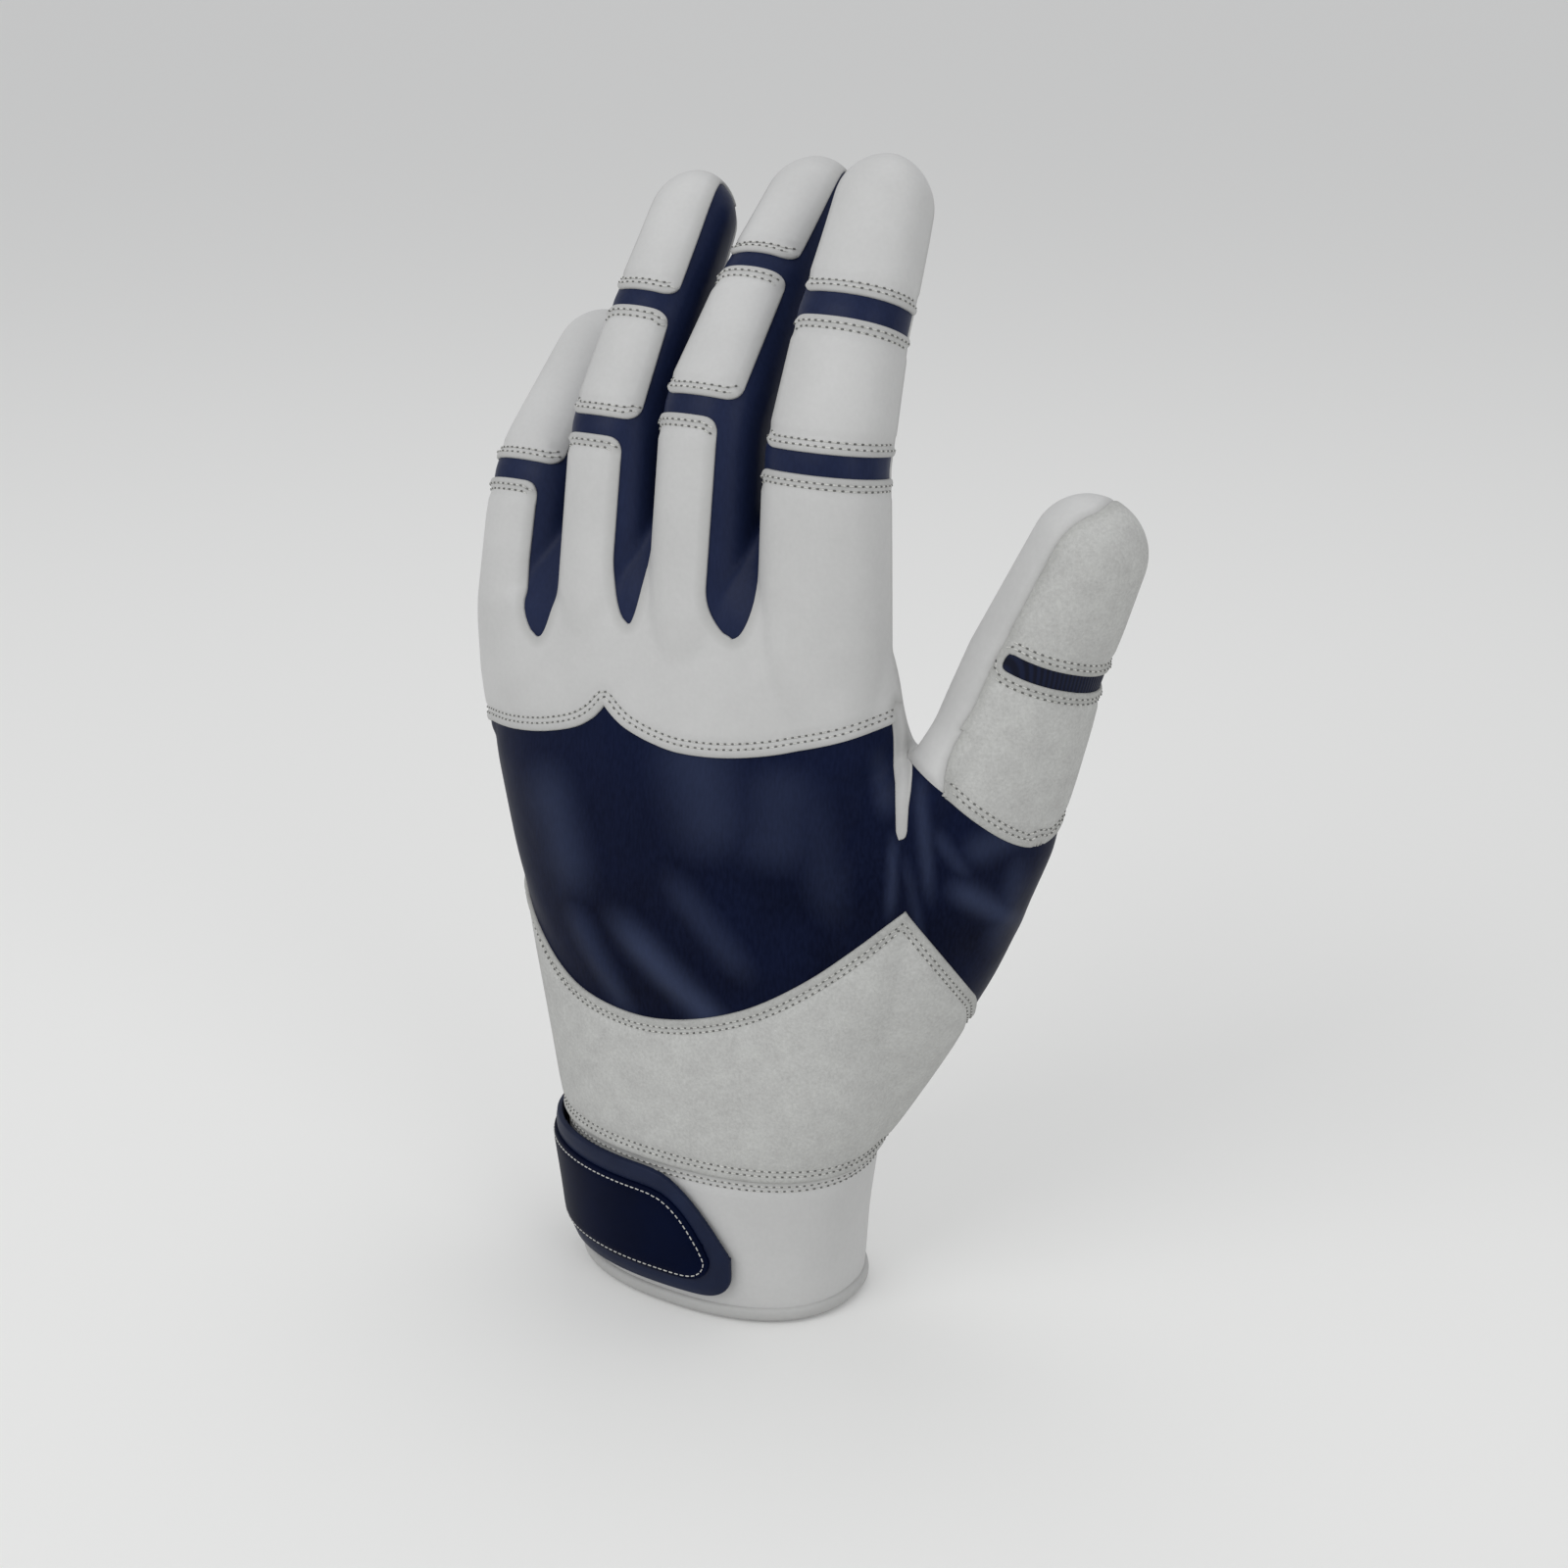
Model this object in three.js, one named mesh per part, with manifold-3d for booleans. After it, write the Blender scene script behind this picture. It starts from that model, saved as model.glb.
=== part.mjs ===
import * as THREE from 'three';
import { mergeVertices } from 'three/addons/utils/BufferGeometryUtils.js';
import Module from 'manifold-3d';

const wasm = await Module();
wasm.setup();

// A left-hand batting glove, open as if a hand were in it. Lengths are millimetres, angles are degrees.
// The origin is the middle of the cuff hem, +Z runs to the fingertips, -Y is the back of the hand
// and +X is the thumb side.

// Leather, fabric and the seams between them
const leatherWall = 1.2;
const stretchWall = 0.8;
const seamGap = 0.3;
const liningClearance = 0.35;
const hingeOutset = 0.3;
const cutOverrun = 120;

// Hand pocket and cuff
const rootHeight = 137;
const knuckleBreadth = 92;
const handDepth = 36;
const cuffHeight = 31.5;
const hemHeight = 2.8;
const hemBulge = 0.7;
const handRoundness = 2.3;
const handSides = 28;

// Shares of rootHeight, knuckleBreadth (thumb side positive) and handDepth (palm side positive)
const handStationShares = [
  { height: 0, little: -0.326, thumb: 0.315, back: -0.575, palm: 0.56 },
  { height: 0.12, little: -0.348, thumb: 0.322, back: -0.592, palm: 0.59 },
  { height: 0.23, little: -0.375, thumb: 0.346, back: -0.608, palm: 0.61 },
  { height: 0.33, little: -0.412, thumb: 0.415, back: -0.6, palm: 0.6 },
  { height: 0.44, little: -0.452, thumb: 0.43, back: -0.575, palm: 0.59 },
  { height: 0.55, little: -0.49, thumb: 0.43, back: -0.555, palm: 0.58 },
  { height: 0.66, little: -0.526, thumb: 0.42, back: -0.54, palm: 0.555 },
  { height: 0.77, little: -0.558, thumb: 0.395, back: -0.52, palm: 0.5 },
  { height: 0.87, little: -0.578, thumb: 0.38, back: -0.49, palm: 0.42 },
  { height: 0.94, little: -0.572, thumb: 0.382, back: -0.45, palm: 0.3 },
  { height: 1, little: -0.562, thumb: 0.385, back: -0.4, palm: 0.178 },
];

// Web between the thumb and the index finger, in the same shares
const webStationShares = [
  { height: 0.33, little: 0.1, thumb: 0.36, back: -0.34, palm: 0.4 },
  { height: 0.5, little: 0.14, thumb: 0.46, back: -0.36, palm: 0.44 },
  { height: 0.66, little: 0.17, thumb: 0.5, back: -0.36, palm: 0.44 },
  { height: 0.8, little: 0.2, thumb: 0.455, back: -0.28, palm: 0.36 },
  { height: 0.86, little: 0.22, thumb: 0.405, back: -0.16, palm: 0.28 },
];

// Seams of the back: start, pull, peak, pull and end, as shares of knuckleBreadth across and rootHeight up
const knuckleSeamShares = [[-0.7, 0.76], [-0.304, 0.796], [-0.163, 0.878], [0.033, 0.788], [0.52, 0.93]];
const wristSeamShares = [[-0.7, 0.53], [0.05, 0.318], [0.478, 0.644], [0.52, 0.56], [0.7, 0.45]];
const tongueShares = [[0.4, 0.88], [0.415, 0.84], [0.455, 0.762], [0.48, 0.762], [0.498, 0.8], [0.5, 0.88]];
const seamSteps = 8;
const sideSeam = { littleEdge: 0, thumbEdge: 4, bendAcross: 36 };

// Fingers: widths and depths at the root, the two bends and the tip; lengths and leans follow the palm side
const fingerRoundness = 2.25;
const fingerSides = 16;
const insertWedge = 12;
const insertTuck = 1.6;
const crownDrop = 2.4;
const stubLength = 24;
const stubSink = 1.5;
const archSteps = 3;
const webHalf = 2.6;
const webDrop = 3;
const webSteps = 6;
const indexAxis = 24.2;
const fingerSpecs = {
  index: {
    rootRise: 0, back: -14.2, clearance: 1, gussets: [-1], edgeSeamShare: 0.3,
    widths: [24.4, 22.4, 20.2, 17.8], depths: [20.6, 19.6, 18, 15.4],
    lengths: [29.6, 21.6, 30.8], leans: [0.5, 18, 28],
  },
  middle: {
    rootRise: 0, back: -15.8, clearance: 0.6, gussets: [-1, 1], edgeSeamShare: 0.45,
    widths: [21.4, 20.8, 19.2, 17.2], depths: [21, 20, 18.4, 15.6],
    lengths: [32.3, 23.6, 29], leans: [6.5, 39, 46],
  },
  ring: {
    rootRise: -1, back: -15.2, clearance: 1.6, gussets: [-1, 1], edgeSeamShare: 0.45,
    widths: [20.2, 19.4, 17.8, 16], depths: [20, 19, 17.2, 14.6],
    lengths: [29, 21, 29.2], leans: [7.5, 29, 35],
  },
  little: {
    rootRise: -6, back: -12, clearance: 0, gussets: [1], edgeSeamShare: 0.45,
    widths: [19, 19.4, 15], depths: [18, 16.8, 13.8],
    lengths: [21.4, 35.4], leans: [11, 41],
  },
};
const gussetPalmShare = 0.45;
const domeShare = 0.62;
const tipFlatShare = 0.06;
const domeSteps = 3;

// Thumb: centres of its root seam, its bend and its tip, and the direction that its back faces
const thumbRoot = { x: 50, y: 11.4, z: 105.5 };
const thumbBend = { x: 57.6, y: 15.4, z: 133.2 };
const thumbTip = { x: 68, y: 19.4, z: 164.6 };
const thumbHeel = [
  { x: 24, y: 4, z: 40, width: 26, depth: 20 },
  { x: 38.5, y: 8, z: 72, width: 32, depth: 27 },
];
const thumbFacing = 60;
const thumbWedge = 11;
const thumbFold = 26;
const thumbWidths = [30, 25, 20];
const thumbDepths = [24, 21, 17];
const thumbSeamShare = 0.36;

// Closing strap, its patches and the slit under it
const strapTop = 30.6;
const strapBottom = 6.2;
const strapReach = 14;
const strapShoulder = -4;
const strapNoseTop = 14;
const noseRound = 3.4;
const noseSlope = 9;
const strapWall = 1.4;
const patchWall = 0.5;
const patchMargin = 3.4;
const panelRise = 0.9;
const noseSteps = 5;
const strapHingeY = 5;
const slitWidth = 4;
const slitTop = 30;
const anchorReach = 22;

const colours = { leather: 0xc8c8c6, suede: 0xb4b4b1, stretch: 0x1c2337, strap: 0x141c30, hook: 0x10151f };
const finishes = {
  leather: new THREE.MeshStandardMaterial({ color: colours.leather, roughness: 0.55, metalness: 0 }),
  suede: new THREE.MeshStandardMaterial({ color: colours.suede, roughness: 0.9, metalness: 0 }),
  stretch: new THREE.MeshStandardMaterial({ color: colours.stretch, roughness: 0.5, metalness: 0 }),
  strap: new THREE.MeshStandardMaterial({ color: colours.strap, roughness: 0.45, metalness: 0 }),
  hook: new THREE.MeshStandardMaterial({ color: colours.hook, roughness: 0.95, metalness: 0 }),
};

const group = new THREE.Group();
const halfSeam = seamGap / 2;

// Solids and the geometry that shows them

function solidOf(geometry) {
  const bare = geometry.clone();
  bare.deleteAttribute('normal');
  bare.deleteAttribute('uv');
  const merged = mergeVertices(bare);
  const vertProperties = new Float32Array(merged.attributes.position.array);
  const triVerts = new Uint32Array(merged.index.array);
  return new wasm.Manifold(new wasm.Mesh({ numProp: 3, vertProperties, triVerts }));
}

function addPiece(name, solid, finish) {
  const mesh = solid.getMesh();
  const geometry = new THREE.BufferGeometry();
  geometry.setAttribute('position', new THREE.BufferAttribute(new Float32Array(mesh.vertProperties), 3));
  geometry.setIndex(new THREE.BufferAttribute(new Uint32Array(mesh.triVerts), 1));
  geometry.computeVertexNormals();
  const piece = new THREE.Mesh(geometry, finishes[finish]);
  piece.name = name;
  group.add(piece);
}

// Skins a row of rings and closes each end with a fan round its middle
function skin(rings) {
  const sides = rings[0].length;
  const points = rings.flat();
  const first = points.length;
  for (const ring of [rings[0], rings[rings.length - 1]]) {
    const middle = new THREE.Vector3();
    ring.forEach((point) => middle.add(point));
    points.push(middle.divideScalar(sides));
  }
  const faces = [];
  for (let row = 0; row < rings.length - 1; row += 1) {
    for (let side = 0; side < sides; side += 1) {
      const next = (side + 1) % sides;
      const a = row * sides + side;
      const b = row * sides + next;
      faces.push(a, b, b + sides, a, b + sides, a + sides);
    }
  }
  const last = (rings.length - 1) * sides;
  for (let side = 0; side < sides; side += 1) {
    const next = (side + 1) % sides;
    faces.push(first, next, side, first + 1, last + side, last + next);
  }
  const geometry = new THREE.BufferGeometry().setFromPoints(points);
  geometry.setIndex(faces);
  return solidOf(geometry);
}

// One side-by-side section: a rounded rectangle between an ellipse and a box
function roundedPoint(turn, roundness) {
  const power = 2 / roundness;
  const across = Math.sign(Math.sin(turn)) * Math.abs(Math.sin(turn)) ** power;
  const deep = Math.sign(Math.cos(turn)) * Math.abs(Math.cos(turn)) ** power;
  return { across, deep };
}

function prism(outline, basis, from, to) {
  const shape = new THREE.Shape(outline.map(([a, b]) => new THREE.Vector2(a, b)));
  const geometry = new THREE.ExtrudeGeometry(shape, { depth: to - from, bevelEnabled: false });
  geometry.translate(0, 0, from);
  geometry.applyMatrix4(basis);
  return solidOf(geometry);
}

const xAxis = new THREE.Vector3(1, 0, 0);
const yAxis = new THREE.Vector3(0, 1, 0);
const zAxis = new THREE.Vector3(0, 0, 1);

// Outline in X and Z, cut from the back of the hand towards the palm
function frontPrism(outline, yFrom, yTo) {
  const basis = new THREE.Matrix4().makeBasis(xAxis, zAxis, yAxis.clone().negate());
  return prism(outline, basis, -yTo, -yFrom);
}

// Outline in X and Y, cut upwards
function planPrism(outline, zFrom, zTo) {
  return prism(outline, new THREE.Matrix4(), zFrom, zTo);
}

// Outline across the depth and along the length of a finger segment, cut across its width
function sidePrism(frame, outline, xFrom, xTo) {
  const basis = new THREE.Matrix4().makeBasis(frame.palmward, frame.along, frame.across);
  basis.setPosition(frame.origin);
  return prism(outline, basis, xFrom, xTo);
}

function mix(a, b, share) {
  return a + (b - a) * share;
}

function curve(from, through, to, steps) {
  const bend = new THREE.QuadraticBezierCurve(
    new THREE.Vector2(...from),
    new THREE.Vector2(...through),
    new THREE.Vector2(...to),
  );
  return bend.getPoints(steps).map((point) => [point.x, point.y]);
}

// Finger and thumb segments: a frame on the palm side, a taper and two end faces that turn about it

function frameAt(origin, along, palmSide) {
  const palmward = palmSide.clone().addScaledVector(along, -palmSide.dot(along)).normalize();
  const across = palmward.clone().cross(along).normalize();
  return { origin, along, palmward, across };
}

function segmentRing(segment, w, inset, shrink) {
  const share = w / segment.length;
  const width = (mix(segment.widths[0], segment.widths[1], share) - 2 * inset) * shrink;
  const fullDepth = mix(segment.depths[0], segment.depths[1], share);
  const depth = (fullDepth - 2 * inset) * shrink;
  const ring = [];
  for (let side = 0; side < fingerSides; side += 1) {
    const { across, deep } = roundedPoint((side / fingerSides) * Math.PI * 2, fingerRoundness);
    const point = segment.frame.origin.clone();
    point.addScaledVector(segment.frame.across, (across * width) / 2);
    point.addScaledVector(segment.frame.palmward, (-deep * depth) / 2 - fullDepth / 2);
    ring.push(point.addScaledVector(segment.frame.along, w));
  }
  return ring;
}

function segmentSolid(segment, inset) {
  const reach = segment.depths[0] / 2;
  const rings = [segmentRing(segment, -reach, inset, 1), segmentRing(segment, 0, inset, 1)];
  if (!segment.isTip) {
    rings.push(segmentRing(segment, segment.length, inset, 1));
    rings.push(segmentRing(segment, segment.length + reach, inset, 1));
    return skin(rings);
  }
  const dome = segment.depths[1] * domeShare;
  for (let step = 0; step <= domeSteps; step += 1) {
    const turn = (step / (domeSteps + 1)) * (Math.PI / 2);
    const w = segment.length - dome + (dome - inset) * Math.sin(turn);
    rings.push(segmentRing(segment, w, inset, Math.cos(turn)));
  }
  rings.push(segmentRing(segment, segment.length - inset, inset, tipFlatShare));
  return skin(rings);
}

function segmentShell(segment, outerInset, innerInset) {
  return segmentSolid(segment, outerInset).subtract(segmentSolid(segment, innerInset));
}

// Length at which an end face lies, for a place across the depth
function startFace(segment, v) {
  return Math.tan(segment.startTilt) * (v - hingeOutset) + halfSeam / Math.cos(segment.startTilt);
}

function endFace(segment, v) {
  if (segment.isTip) return segment.length + cutOverrun;
  const tilt = Math.tan(segment.endTilt) * (hingeOutset - v);
  return segment.length + tilt - halfSeam / Math.cos(segment.endTilt);
}

// Band between two lines down the length; each line is a pair of depths, at the start and at the end
function bandPrism(segment, near, far, xFrom, xTo) {
  const outline = [
    [near[0], startFace(segment, near[0])],
    [far[0], startFace(segment, far[0])],
    [far[1], endFace(segment, far[1])],
    [near[1], endFace(segment, near[1])],
  ];
  return sidePrism(segment.frame, outline, xFrom, xTo);
}

// The last stretch of such a band, beside the end face
function endBand(segment, near, far, xFrom, xTo, reach) {
  const outline = [
    [near[1], endFace(segment, near[1]) - reach],
    [far[1], endFace(segment, far[1]) - reach],
    [far[1], endFace(segment, far[1])],
    [near[1], endFace(segment, near[1])],
  ];
  return sidePrism(segment.frame, outline, xFrom, xTo);
}

function depthLine(segment, share, offset) {
  return segment.depths.map((depth) => -depth * share + offset);
}

function crownLine(segment, offset) {
  return segment.depths.map((depth) => -depth + crownDrop + offset);
}

function pastBack(segment) {
  return segment.depths.map((depth) => -2 * depth);
}

function pastPalm(segment) {
  return segment.depths.map(() => hingeOutset);
}

function backPanel(segment) {
  const hasGussets = segment.gussets.length > 0;
  const plainSeam = depthLine(segment, segment.edgeShare, -halfSeam);
  const seam = hasGussets ? crownLine(segment, -halfSeam) : plainSeam;
  let cutter = bandPrism(segment, pastBack(segment), seam, -cutOverrun, cutOverrun);
  if (segment.gussets.length === 1) {
    const side = -segment.gussets[0];
    const [from, to] = side > 0 ? [0, cutOverrun] : [-cutOverrun, 0];
    cutter = cutter.add(bandPrism(segment, pastBack(segment), plainSeam, from, to));
  }
  return segmentShell(segment, 0, leatherWall).intersect(cutter);
}

function palmPanel(segment) {
  const shares = [segment.edgeShare, segment.gussets.length ? gussetPalmShare : segment.edgeShare];
  const low = depthLine(segment, Math.min(...shares), halfSeam);
  const high = depthLine(segment, Math.max(...shares), halfSeam);
  let cutter = bandPrism(segment, low, pastPalm(segment), -cutOverrun, cutOverrun);
  if (shares[0] !== shares[1]) {
    const highSide = shares[0] > shares[1] ? -segment.gussets[0] : segment.gussets[0];
    const [from, to] = highSide > 0 ? [0, cutOverrun] : [-cutOverrun, 0];
    cutter = cutter.add(bandPrism(segment, high, pastPalm(segment), from, to));
  }
  return segmentShell(segment, 0, leatherWall).intersect(cutter);
}

function gussetBand(segment, side, reach) {
  const [from, to] = side > 0 ? [0, cutOverrun] : [-cutOverrun, 0];
  const near = crownLine(segment, halfSeam);
  const far = depthLine(segment, gussetPalmShare, -halfSeam);
  if (reach) return endBand(segment, near, far, from, to, reach);
  return bandPrism(segment, near, far, from, to);
}

// Lining that arches over a bend, turned about the hinge line, and tucked under the panels on both sides
function insertArch(segment, next) {
  const inset = leatherWall + liningClearance;
  const bisector = segment.frame.along.clone().add(next.frame.along).normalize();
  const outward = segment.frame.across.clone().cross(bisector).normalize();
  const halfSpan = THREE.MathUtils.degToRad(segment.wedge / 2) + insertTuck / segment.depths[1];
  const centre = next.frame.origin.clone().addScaledVector(next.frame.palmward, hingeOutset);
  const archSolid = (wall) => {
    const rings = [];
    const span = halfSpan + wall / segment.depths[1];
    for (let step = 0; step <= archSteps; step += 1) {
      const turn = mix(span, -span, step / archSteps);
      const direction = outward.clone().applyAxisAngle(segment.frame.across, turn);
      const ring = [];
      for (let side = 0; side < fingerSides; side += 1) {
        const { across, deep } = roundedPoint((side / fingerSides) * Math.PI * 2, fingerRoundness);
        const half = segment.widths[1] / 2 - inset - wall;
        const radius = hingeOutset + segment.depths[1] / 2 + deep * (segment.depths[1] / 2 - inset - wall);
        const point = centre.clone().addScaledVector(segment.frame.across, across * half);
        ring.push(point.addScaledVector(direction, radius));
      }
      rings.push(ring);
    }
    return skin(rings);
  };
  const keepFrom = segment.depths[1] * gussetPalmShare;
  const keepFrame = frameAt(centre, bisector, segment.frame.palmward);
  const keepOutline = [
    [-cutOverrun, -cutOverrun],
    [-keepFrom, -cutOverrun],
    [-keepFrom, cutOverrun],
    [-cutOverrun, cutOverrun],
  ];
  const keep = sidePrism(keepFrame, keepOutline, -cutOverrun, cutOverrun);
  return archSolid(0).subtract(archSolid(stretchWall)).intersect(keep);
}

// Side gussets of one segment, joined to the arch over its far bend by a thicker lug
function stretchPiece(segment, next) {
  let piece = null;
  for (const side of segment.gussets) {
    let leg = segmentShell(segment, 0, leatherWall).intersect(gussetBand(segment, side, 0));
    if (next) {
      const lugWall = leatherWall + liningClearance + stretchWall;
      leg = leg.add(segmentShell(segment, 0, lugWall).intersect(gussetBand(segment, side, insertTuck)));
    }
    piece = piece ? piece.add(leg) : leg;
  }
  if (next) piece = piece ? piece.add(insertArch(segment, next)) : insertArch(segment, next);
  return piece;
}

// Builds the chain of segments of one digit and adds their panels
function fingerSegments(spec, axisX) {
  const rootZ = rootHeight + spec.rootRise;
  const origin = new THREE.Vector3(axisX, spec.back + spec.depths[0], rootZ);
  const leans = spec.leans.map((lean) => THREE.MathUtils.degToRad(lean));
  const wedge = THREE.MathUtils.degToRad(insertWedge);
  const segments = [];
  for (let index = 0; index < spec.lengths.length; index += 1) {
    const along = new THREE.Vector3(0, Math.sin(leans[index]), Math.cos(leans[index]));
    const segment = {
      frame: frameAt(origin.clone(), along, yAxis),
      length: spec.lengths[index],
      widths: spec.widths.slice(index, index + 2),
      depths: spec.depths.slice(index, index + 2),
      isTip: index === spec.lengths.length - 1,
      startTilt: index ? (leans[index] - leans[index - 1] - wedge) / 2 : leans[0],
      endTilt: index < leans.length - 1 ? (leans[index + 1] - leans[index] - wedge) / 2 : 0,
      wedge: insertWedge,
      gussets: spec.gussets,
      edgeShare: spec.edgeSeamShare,
    };
    segments.push(segment);
    origin.addScaledVector(along, segment.length);
  }
  return segments;
}

const segmentNames = { 2: ['proximal', 'tip'], 3: ['proximal', 'middle', 'tip'] };

function addDigit(name, segments, backFinish) {
  const names = segmentNames[segments.length];
  segments.forEach((segment, index) => {
    const next = segments[index + 1];
    const label = `${name}_${names[index]}`;
    addPiece(`${label}_back`, backPanel(segment), backFinish);
    addPiece(`${label}_palm`, palmPanel(segment), 'leather');
    if (segment.gussets.length) addPiece(`${label}_stretch`, stretchPiece(segment, next), 'stretch');
    if (!segment.gussets.length && next) addPiece(`${name}_insert`, insertArch(segment, next), 'stretch');
  });
}

const fingers = {};
let axis = indexAxis;
let previous = null;
for (const [name, spec] of Object.entries(fingerSpecs)) {
  if (previous) axis -= (previous.widths[0] + spec.widths[0]) / 2 + previous.clearance;
  fingers[name] = { spec, axis, segments: fingerSegments(spec, axis) };
  previous = spec;
}

// Thumb frames: its palm side faces across the palm, and its segments run between points on that side
const thumbTurn = THREE.MathUtils.degToRad(thumbFacing);
const thumbPalmSide = new THREE.Vector3(-Math.sin(thumbTurn), Math.cos(thumbTurn), 0);

function thumbPoint({ x, y, z }, depth) {
  return new THREE.Vector3(x, y, z).addScaledVector(thumbPalmSide, depth / 2);
}
const thumbPlaces = [thumbRoot, thumbBend, thumbTip];
const thumbPoints = thumbPlaces.map((place, index) => thumbPoint(place, thumbDepths[index]));

function thumbSegments() {
  const lines = [0, 1].map((index) => thumbPoints[index + 1].clone().sub(thumbPoints[index]));
  const frames = lines.map((line, index) => (
    frameAt(thumbPoints[index].clone(), line.clone().normalize(), thumbPalmSide)
  ));
  const bend = Math.asin(frames[1].along.dot(frames[0].palmward));
  const spare = (bend - THREE.MathUtils.degToRad(thumbWedge)) / 2;
  return lines.map((line, index) => ({
    frame: frames[index],
    length: line.length(),
    widths: thumbWidths.slice(index, index + 2),
    depths: thumbDepths.slice(index, index + 2),
    isTip: index === 1,
    startTilt: index ? spare : 0,
    endTilt: index ? 0 : spare,
    wedge: thumbWedge,
    gussets: [],
    edgeShare: thumbSeamShare,
  }));
}
const thumb = thumbSegments();

// Heel of the thumb, inside the hand pocket, which runs up to the root seam of the thumb
const heelLine = new THREE.Vector3().subVectors(thumbRoot, thumbHeel[0]).normalize();

function heelRing(place, inset) {
  const frame = frameAt(thumbPoint(place, place.depth), heelLine, thumbPalmSide);
  const widths = [place.width, place.width];
  const depths = [place.depth, place.depth];
  return segmentRing({ frame, length: place.depth, widths, depths }, 0, inset, 1);
}

// Hand pocket: rounded sections, with finger stubs, the heel of the thumb and the web beside it

function handRing(station, inset) {
  const ring = [];
  const left = station.little * knuckleBreadth + inset;
  const right = station.thumb * knuckleBreadth - inset;
  const back = station.back * handDepth + inset;
  const palm = station.palm * handDepth - inset;
  for (let side = 0; side < handSides; side += 1) {
    const { across, deep } = roundedPoint((side / handSides) * Math.PI * 2, handRoundness);
    const x = (left + right) / 2 + (across * (right - left)) / 2;
    const y = (back + palm) / 2 - (deep * (palm - back)) / 2;
    ring.push(new THREE.Vector3(x, y, station.height * rootHeight));
  }
  return ring;
}

function pocket(inset) {
  const rings = handStationShares.map((station) => handRing(station, inset));
  if (inset > 0) {
    rings.unshift(rings[0].map((point) => point.clone().setZ(-inset)));
    rings.push(rings[rings.length - 1].map((point) => point.clone().setZ(point.z + inset)));
  }
  return skin(rings);
}

function stubRing(finger, z, inset, sunk) {
  const root = finger.segments[0];
  const width = root.widths[0] - 2 * inset;
  const depth = root.depths[0] - 2 * inset;
  const middle = finger.spec.back + root.depths[0] / 2 + sunk;
  const ring = [];
  for (let side = 0; side < fingerSides; side += 1) {
    const { across, deep } = roundedPoint((side / fingerSides) * Math.PI * 2, fingerRoundness);
    ring.push(new THREE.Vector3(finger.axis + (across * width) / 2, middle - (deep * depth) / 2, z));
  }
  return ring;
}

function rootOf(finger) {
  return rootHeight + finger.spec.rootRise;
}

function fingerStub(finger, inset) {
  const top = rootOf(finger);
  return skin([
    stubRing(finger, top - stubLength, inset, stubSink),
    stubRing(finger, top, inset, 0),
    stubRing(finger, top + leatherWall, inset, 0),
  ]);
}

// Lines between neighbouring fingers, from the little finger to the index finger
const rowOfFingers = Object.values(fingers).reverse();
const fingerBounds = rowOfFingers.slice(1).map((finger, index) => {
  const before = rowOfFingers[index];
  const left = before.axis + before.spec.widths[0] / 2;
  return (left + finger.axis - finger.spec.widths[0] / 2) / 2;
});

// Everything under the roots of the fingers, each of which ends at its own height
function underRoots(inset) {
  const outline = [[-cutOverrun, -cutOverrun]];
  rowOfFingers.forEach((finger, index) => {
    const top = rootOf(finger) - halfSeam - inset;
    const before = rowOfFingers[index - 1];
    const after = rowOfFingers[index + 1];
    const rise = before ? Math.sign(rootOf(finger) - rootOf(before)) : 0;
    const nextRise = after ? Math.sign(rootOf(after) - rootOf(finger)) : 0;
    outline.push([before ? fingerBounds[index - 1] + rise * inset : -cutOverrun, top]);
    outline.push([after ? fingerBounds[index] + nextRise * inset : cutOverrun, top]);
  });
  outline.push([cutOverrun, -cutOverrun]);
  return frontPrism(outline, -cutOverrun, cutOverrun);
}

function heelColumn(inset) {
  const rings = thumbHeel.map((place) => heelRing(place, inset));
  rings.push(segmentRing(thumb[0], -leatherWall, inset, 1));
  rings.push(segmentRing(thumb[0], leatherWall, inset, 1));
  return skin(rings);
}

function thumbWeb(inset) {
  return skin(webStationShares.map((station) => handRing(station, inset)));
}

// Space that the thumb stands in and folds through, above its root seam
function thumbClearance(grow) {
  const start = -halfSeam - grow;
  const lean = Math.tan(THREE.MathUtils.degToRad(thumbFold));
  const outline = [
    [-cutOverrun, start],
    [hingeOutset + grow, start],
    [hingeOutset + grow + cutOverrun * lean, start + cutOverrun],
    [-cutOverrun, start + cutOverrun],
  ];
  const side = thumbWidths[0] / 2 + seamGap + grow;
  return sidePrism(thumb[0].frame, outline, -side, cutOverrun);
}

function handShell() {
  let outer = pocket(0).add(heelColumn(0).add(thumbWeb(0)).subtract(thumbClearance(0)));
  let hollow = pocket(leatherWall).add(thumbWeb(leatherWall).subtract(thumbClearance(leatherWall)));
  for (let index = 0; index < fingerBounds.length; index += 1) {
    hollow = hollow.subtract(webCutter(index, halfSeam).subtract(underRoots(leatherWall)));
  }
  hollow = hollow.add(heelColumn(leatherWall));
  for (const finger of rowOfFingers) {
    outer = outer.add(fingerStub(finger, 0));
    hollow = hollow.add(fingerStub(finger, leatherWall));
  }
  return outer.intersect(underRoots(0)).subtract(hollow);
}

// Seam lines of the hand, seen from the back

function acrossAndUp([across, up]) {
  return [across * knuckleBreadth, up * rootHeight];
}

function seamLine(shares, shift) {
  const [start, first, peak, second, end] = shares.map(acrossAndUp);
  const line = [...curve(start, first, peak, seamSteps), ...curve(peak, second, end, seamSteps).slice(1)];
  return line.map(([x, z]) => [x, z + shift]);
}

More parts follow.
